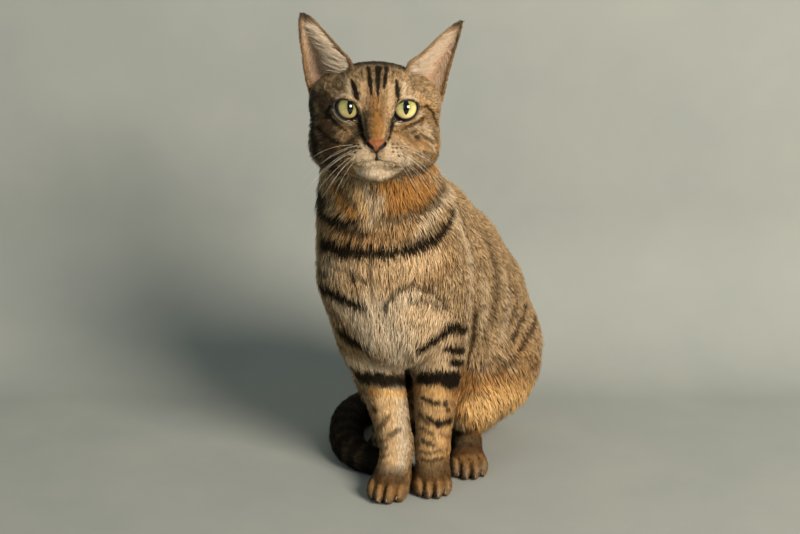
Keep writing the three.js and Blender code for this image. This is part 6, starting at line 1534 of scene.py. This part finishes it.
def strands(name, curves, mat, sides=4):
    """tapered hairs: each curve is (points, root radius, tip radius)"""
    V, F, n = [], [], 0
    for P, r0, r1 in curves:
        P = np.array(P, float); m = len(P); T = unit(np.gradient(P, axis=0))
        ref = np.array([0.3, .2, 1.0])
        for i in range(m):
            a = unit(np.cross(T[i], ref)); b = np.cross(T[i], a); r = r0 + (r1 - r0) * (i / (m - 1)) ** 1.2
            for s in range(sides):
                t = 2 * math.pi * s / sides; V.append(P[i] + r * (math.cos(t) * a + math.sin(t) * b))
        for i in range(m - 1):
            for s in range(sides):
                a, b = n + i * sides + s, n + i * sides + (s + 1) % sides
                F.append((a, b, b + sides, a + sides))
        V.append(P[0]); V.append(P[-1] + T[-1] * r1)
        for s in range(sides):
            c, d = n + s, n + (s + 1) % sides
            F.append((n + m * sides, d, c, c)); e = n + (m - 1) * sides
            F.append((e + s, e + (s + 1) % sides, n + m * sides + 1, n + m * sides + 1))
        n += m * sides + 2
    me = bpy.data.meshes.new(name)
    me.from_pydata(row(np.array(V)).tolist(), [], [tuple(dict.fromkeys(f)) for f in F]); me.update()
    me.materials.append(mat)
    me.polygons.foreach_set("use_smooth", np.ones(len(me.polygons), bool))
    ob = bpy.data.objects.new(name, me); bpy.context.scene.collection.objects.link(ob)
    return ob


def hair_curve(root, out, length, sag, curl, n=14):
    """a hair from root, leaving along out, that bends by sag (down) and curl (back) over its length; head frame"""
    P = [np.array(root, float)]; d = unit(np.array(out, float)); ds = length / (n - 1)
    for i in range(1, n):
        t = i / n
        d = unit(d + np.array([0, curl, -sag]) * (ds / length) * (.6 + .8 * t))
        P.append(P[-1] + d * ds)
    return np.array([head_point(p) for p in P])


def whisker_curves(rng):
    C = []
    rows = [(-24.4, [(14.5, -25), (18.2, -21.2)], -.10, 34),
            (-27.2, [(13.6, -27), (16.8, -25.0), (20.4, -20.8)], -.34, 46),
            (-30.6, [(13.2, -27.6), (16.6, -25.6), (20.4, -20.8)], -.66, 52),
            (-33.4, [(14.2, -26.2), (18.0, -23.4)], -1.05, 44)]
    for s in (-1, 1):
        for z, cols, up, ln in rows:
            for k, (x, y) in enumerate(cols):
                L = ln * (.80 + .14 * k) * (.9 + .2 * rng.random())
                out = (s * 1.0, -.30 + .26 * k + rng.normal(0, .08), up + rng.normal(0, .07))
                C.append((hair_curve((s * x, y + .8, z + rng.normal(0, .3)), out, L * 1.05, .62 + .4 * rng.random(), .45), .095, .02))
        for k in range(2):                              # brow hairs
            out = (s * (.5 + .12 * k), -.75, 1.0 - .1 * k)
            C.append((hair_curve((s * (17.5 + 3 * k), -9.0, 14.5 + 1.0 * k), out, 19 + 5 * rng.random(), -.1, 1.1), .075, .02))
    return C


def ear_hair(rng):
    """long pale hairs from the ears' inner edges, over the cup"""
    C = []
    for side in EARS:
        R = EARS[side]; axis = unit(R[-1].mean(0) - R[1].mean(0)); e = R[1, 1] - R[1, 0]; e = unit(e - axis * (e @ axis))
        face = np.cross(axis, e); face = -face if face[1] > 0 else face
        n = 640
        s = .03 + .66 * rng.random(n) ** 1.15; t = np.where(rng.random(n) < .80, .01 + .20 * rng.random(n), .90 + .08 * rng.random(n))
        P, w = ear_sheet(side, s, t)
        for k in range(n):
            inner_edge = t[k] < .5
            sign = 1 if inner_edge else -1
            L = (23.0 if inner_edge else 8.0) * (1 - .62 * s[k]) * (.65 + .6 * rng.random())
            d = unit(e * sign * (.95 + .2 * rng.normal()) + axis * (.50 + .2 * rng.normal()) + face * (.52 + .14 * rng.normal()))
            Q = [P[k] + face * .6]; m = 6
            for i in range(m):
                d = unit(d - face * .12 + axis * .10)
                Q.append(Q[-1] + d * L / m)
            C.append((np.array(Q), .14, .03))
    return C


def claw_meshes(mat):
    """one horn-coloured hook at each toe"""
    V, F = [], []
    for p in TOES:
        R = p["R"]; f = -R[:, 1]; f = unit(np.array([f[0], f[1], 0])); c = p["c"]; r = p["r"]
        side = np.cross(f, [0, 0, 1.0])
        base = c + f * (r[1] - 3.4) + np.array([0, 0, -1.6]); n0 = len(V); m = 6; k = 6
        for i in range(m):
            t = i / (m - 1); a = math.radians(18 + 62 * t)
            pos = base + f * (4.2 * math.sin(a) / math.sin(math.radians(80))) + np.array([0, 0, -3.6 * (1 - math.cos(a)) + .9])
            rad = 1.05 * (1 - t) ** .8 + .06
            T = f * math.cos(a) + np.array([0, 0, -math.sin(a)]); up = np.cross(side, T)
            for j in range(k):
                b = 2 * math.pi * j / k; V.append(pos + rad * (.55 * math.cos(b) * side + math.sin(b) * up))
        for i in range(m - 1):
            for j in range(k):
                a, b = n0 + i * k + j, n0 + i * k + (j + 1) % k
                F.append((a, b, b + k, a + k))
        F.append(tuple(range(n0 + k - 1, n0 - 1, -1))); F.append(tuple(range(n0 + (m - 1) * k, n0 + m * k)))
    V = np.array(V); V[:, 2] = np.maximum(V[:, 2], .3)
    me = bpy.data.meshes.new("claws"); me.from_pydata(row(V).tolist(), [], F); me.update(); me.materials.append(mat)
    me.polygons.foreach_set("use_smooth", np.ones(len(me.polygons), bool))
    ob = bpy.data.objects.new("claws", me); bpy.context.scene.collection.objects.link(ob)
    return ob



# ==== BUILD
cam_data = bpy.data.cameras.new("view"); cam_data.lens = 71.37; cam_data.sensor_width = 36.0; cam_data.clip_start = .05; cam_data.clip_end = 20
camera = bpy.data.objects.new("view", cam_data); bpy.context.scene.collection.objects.link(camera)
aim = Vector(row([0, 0, 203.0])); el = math.radians(15)
back = Vector((0, -math.cos(el), math.sin(el)))
camera.location = aim + back * 1.3
camera.rotation_euler = (-back).to_track_quat("-Z", "Y").to_euler()
bpy.context.scene.camera = camera

V, F = unpinch(*main_surface(*make_skin(2.2)))
V = settle(V, 2)
say("skin", len(V), len(F))


def face_area(c):
    q = to_head(c)
    return (q[:, 1] < 2) & (np.abs(q[:, 0]) < 40) & (q[:, 2] > -52) & (q[:, 2] < 34)


def eye_area(c):
    q = to_head(c); ax = np.abs(q[:, 0])
    eyes = (np.hypot(ax - EYE_X, q[:, 2] - EYE_Z) < 13.5) & (q[:, 1] < 2)
    nose = (ax < 11) & (np.abs(q[:, 2] + 27) < 12) & (q[:, 1] < -18)
    return eyes | nose


def foot_area(c):
    return (c[:, 2] < 24) & (c[:, 1] < 86) & (c[:, 0] > -40)


V, F = refine(V, F, lambda c: face_area(c) | foot_area(c)); V = settle(V, 1)
V, F = refine(V, F, eye_area); V = settle(V, 1)
V[:, 2] = np.maximum(V[:, 2], .3)
N = unit(gradient(V, .5))
say("refined", len(V), len(F))

S = Skin(); S.V, S.F, S.N = V, F, N
lie, coat, which, region, ear, inner, along_ear, across_ear = lay_of_the_land(V, N)
for i in range(2):
    lie = smooth(lie, F, 3); lie = unit(lie - N * (lie * N).sum(1, keepdims=True))
coat = smooth(coat, F, 6)
S.lie, S.coat = lie, coat
kd = KDTree(len(V))
for i, p in enumerate(V): kd.insert(p, i)
kd.balance()


def near_skin(Q):
    out = np.empty(len(Q), int); find = kd.find
    for i, q in enumerate(Q): out[i] = find(q)[1]
    return out


S.near = near_skin
say("lie")

# bare places: nose leather, eye rims, lips, inner ears
q = to_head(V); ax = np.abs(q[:, 0]); gap = lid_gap(q)
frontal = step(0, -5, q[:, 1])
tri_w = np.interp(q[:, 2], [-29.6, -28.0, -26.5, -25.2, -24.2, -23.2, -22.0, -20.8, -19.8, -19.0], [.4, 1.2, 2.3, 3.8, 5.6, 7.0, 7.7, 7.6, 6.6, 4.4])
level = step(-30.2, -29.4, q[:, 2]) * step(-18.2, -19.4, q[:, 2]) * step(-19, -21, q[:, 1])
leather = step(.4, -.4, ax - tri_w) * level
d_nos, _ = line_gap(q, NOSTRIL)
rimb = np.where(q[:, 2] > EYE_Z, step(2.3, 1.4, gap), step(1.5, .8, gap)) * frontal * (q[:, 1] > -14)
d_ph, _ = line_gap(q, [(0, -32.0, -28.8), (0, -29, -34.8)])
d_mo, tm = line_gap(q, MOUTH)
black = np.maximum.reduce([rimb, step(2.1, 1.3, d_nos), step(1.6, .9, d_ph) * step(-18, -20, q[:, 1]), step(1.1, .4, d_mo) * (1 - .75 * tm),
                           step(1.1, .5, np.abs(ax - tri_w)) * level * step(-24.6, -25.6, q[:, 2])])
cup = inner * step(.0, .06, across_ear) * step(1.0, .955, across_ear) * step(.985, .90, along_ear)
pink = cup * np.maximum.reduce([.30 + 0 * cup, .72 * step(.48, .72, across_ear) * step(.88, .55, along_ear), step(.45, .70, across_ear) * step(.40, .16, along_ear)])
tip = ear * step(.70, .92, along_ear)
edge = ear * (1 - cup) * step(.2, .5, ear) * inner
S.extra = smooth(np.column_stack([np.maximum(.80 * tip, .34 * edge), np.maximum(.18 * cup, .55 * edge), .66 * cup * (1 - .5 * tip), np.maximum(cup, tip)]), F, 2)
bare = np.column_stack([leather, np.clip(smooth(pink, F, 2), 0, 1), np.clip(black, 0, 1)])
furless = np.clip(np.maximum.reduce([leather, step(1.3, .5, gap) * frontal, step(2.1, 1.3, d_nos), step(1.7, .9, d_ph), step(.7, .3, d_mo) * .8, smooth(pink, F, 2) * .55]), 0, 1)

labels = {}
code = np.zeros(len(PRIMS), int)
for i, p in enumerate(PRIMS):
    nm = p["part"] if p["part"] != "tail" else "tail%d" % ((i - TAIL_FIRST) // 6)
    nm = {"upper_fr": "fr", "fore_fr": "fr", "paw_fr": "fr", "upper_fl": "fl", "fore_fl": "fl", "paw_fl": "fl", "shank_hl": "hl", "foot_hl": "hl",
          "shank_hr": "hr", "foot_hr": "hr"}.get(nm, nm)
    code[i] = labels.setdefault(nm, len(labels))
first = F[:, 0]
label = code[which[first]]
earcode = len(labels) + (V[:, 0] > -18).astype(int) * 2 + (inner > .5)
label = np.where(ear[first] > .5, earcode[first], label)
mat_skin = skin_material("skin_and_ground_coat")
skin = mesh_object("skin", V, F, mat_skin)
point_colour(skin, "marks_with_painted_shade_and_light", np.maximum(marks_with_painted_shade_and_light(V) * (1 - S.extra[:, 3:]), S.extra[:, :3])); point_colour(skin, "bare", bare)
g = skin.data.attributes.new("grain", "FLOAT_VECTOR", "POINT")
side = np.cross(N, lie)
grain = np.column_stack([(V * side).sum(1) * 1.6, (V * lie).sum(1) * .28, (V * N).sum(1) * .3])
g.data.foreach_set("vector", grain.astype(np.float32).ravel())
uvl = skin.data.uv_layers.new(name="OFBake"); uvl.data.foreach_set("uv", unwrap(V, F, label).astype(np.float32).ravel())
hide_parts(*[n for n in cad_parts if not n.startswith("eye_")])
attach(skin, "root")
say("skin object")

# the coat, piece by piece
reg = region[first].copy()
cx = V[F].mean(1)
qc = to_head(cx)
reg[(reg == 0) & (qc[:, 1] > 6)] = 1
reg[ear[first] > .3] = 1
reg[(reg == 3) & (((cx - np.array([34, 84, 184])) @ np.array([.80, -.58, 0.08])) > 0)] = 7
PIECES = [("coat_face", 0, 33000, "fur_head"), ("coat_head_and_ears", 1, 31000, "fur_head"), ("coat_neck_and_chest", 2, 33200, "fur_chest"),
          ("coat_trunk_right", 3, 28000, "fur_body"), ("coat_trunk_left", 7, 28000, "fur_body"), ("coat_haunches", 4, 33200, "fur_body"),
          ("coat_forelegs", 5, 33000, "fur_leg"), ("coat_tail", 6, 24000, "fur_tail")]
fmat = coat_material("coat_hair")
bald = furless[F].mean(1); cf = coat[F].mean(1)
total = 0
for name, r, n, slot in PIECES:
    faces = np.where(reg == r)[0]
    w = (1 - bald[faces]) * (1 / (hair_length(cf[faces]) * hair_width(cf[faces]))) ** .62
    uv = unwrap(V, F[faces], label[faces])
    uvf = np.zeros((len(F), 3, 2)); uvf[faces] = uv
    X, nrm, mk, col, UV = tufts(S, faces, w, n, np.random.default_rng(100 + r), uvf)
    ob = tuft_mesh(name, X, nrm, mk, col, UV, fmat)
    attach(ob, "root")
    total += len(ob.data.polygons)
    say(name, n, len(ob.data.polygons), np.isnan(X).sum(), X.reshape(-1, 3).min(0).round(), X.reshape(-1, 3).max(0).round())
say("coat triangles", total)

# one iris colour for both eyes, painted lighter with a higher gain in the left eye and darker in the right: painted
# light and painted shade
eye_r = eye(-1, "eyeball_right", eye_material("iris_right", (.44, .38, .13), .90))
eye_l = eye(1, "eyeball_left", eye_material("iris_left", (.54, .48, .20), 1.45))
for ob, nm in ((eye_r, "eye_right"), (eye_l, "eye_left")):
    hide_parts(nm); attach(ob, "root")
wh = strands("whiskers", whisker_curves(np.random.default_rng(7)), simple_material("whisker_hair", (.60, .53, .44), (.80, .73, .63), 400.0, .45, .4))
eh = strands("ear_hair", ear_hair(np.random.default_rng(11)), simple_material("ear_hair_pale", (.62, .48, .35), (.84, .70, .54), 300.0, .5, .2), 3)
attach(eh, "root")
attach(wh, "root")
cl = claw_meshes(simple_material("claw_horn", (.10, .07, .05), (.34, .26, .19), 600.0, .3, .5))
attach(cl, "root")

# floor and backdrop: one sweep, soft key from the picture's right, low cool fill
def paper_material():
    """pale paper, seen from its lit side only, so that the cat's back is not hidden"""
    m = simple_material("paper", srgb(143, 147, 145), srgb(150, 153, 149), 9.0, .85, .15, .05, .0005); t = m.node_tree
    geo, clear, both = t.nodes.new("ShaderNodeNewGeometry"), t.nodes.new("ShaderNodeBsdfTransparent"), t.nodes.new("ShaderNodeMixShader")
    t.links.new(geo.outputs["Backfacing"], both.inputs[0])
    t.links.new(t.nodes["Principled BSDF"].outputs[0], both.inputs[1]); t.links.new(clear.outputs[0], both.inputs[2])
    t.links.new(both.outputs[0], t.nodes["Material Output"].inputs[0])
    return m


def sweep():
    prof = [(-1.6, 0.0), (-.4, 0.0), (.165, 0.0)]
    for i in range(1, 17):
        a = math.pi / 2 * i / 16; prof.append((.165 + .16 * math.sin(a), .16 * (1 - math.cos(a))))
    prof += [(.325, 1.0), (.325, 2.2)]
    Vs, Fs = [], []
    for y, z in prof: Vs += [(-2.6, y, z), (2.6, y, z)]
    for i in range(len(prof) - 1): Fs.append((2 * i, 2 * i + 1, 2 * i + 3, 2 * i + 2))
    me = bpy.data.meshes.new("backdrop"); me.from_pydata(Vs, [], Fs); me.update()
    for p in me.polygons: p.use_smooth = True
    ob = bpy.data.objects.new("backdrop", me); bpy.context.scene.collection.objects.link(ob)
    me.materials.append(paper_material())
    return ob


sweep()


def lamp(name, az, el, dist, size, energy, colour, at=(-.01, -.06, .2)):
    l = bpy.data.lights.new(name, "AREA"); l.energy = energy; l.size = size; l.color = colour; l.shape = "DISK"
    o = bpy.data.objects.new(name, l); bpy.context.scene.collection.objects.link(o)
    az, el = math.radians(az), math.radians(el); at = Vector(at)
    d = Vector((math.sin(az) * math.cos(el), -math.cos(az) * math.cos(el), math.sin(el)))
    o.location = at + d * dist; o.rotation_euler = d.to_track_quat("Z", "Y").to_euler()
    return o


lamp("key", 36, 27, 2.5, 1.08, 110, (1.0, .90, .76))
lamp("fill", -28, 30, 2.2, 1.8, 5.2, (.80, .95, 1.0))
world = bpy.data.worlds.new("studio"); bpy.context.scene.world = world; world.use_nodes = True
bg = world.node_tree.nodes["Background"]; bg.inputs[0].default_value = (.72, .86, .82, 1); bg.inputs[1].default_value = .26
bpy.context.scene.view_settings.view_transform = "Standard"

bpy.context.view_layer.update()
say("done")
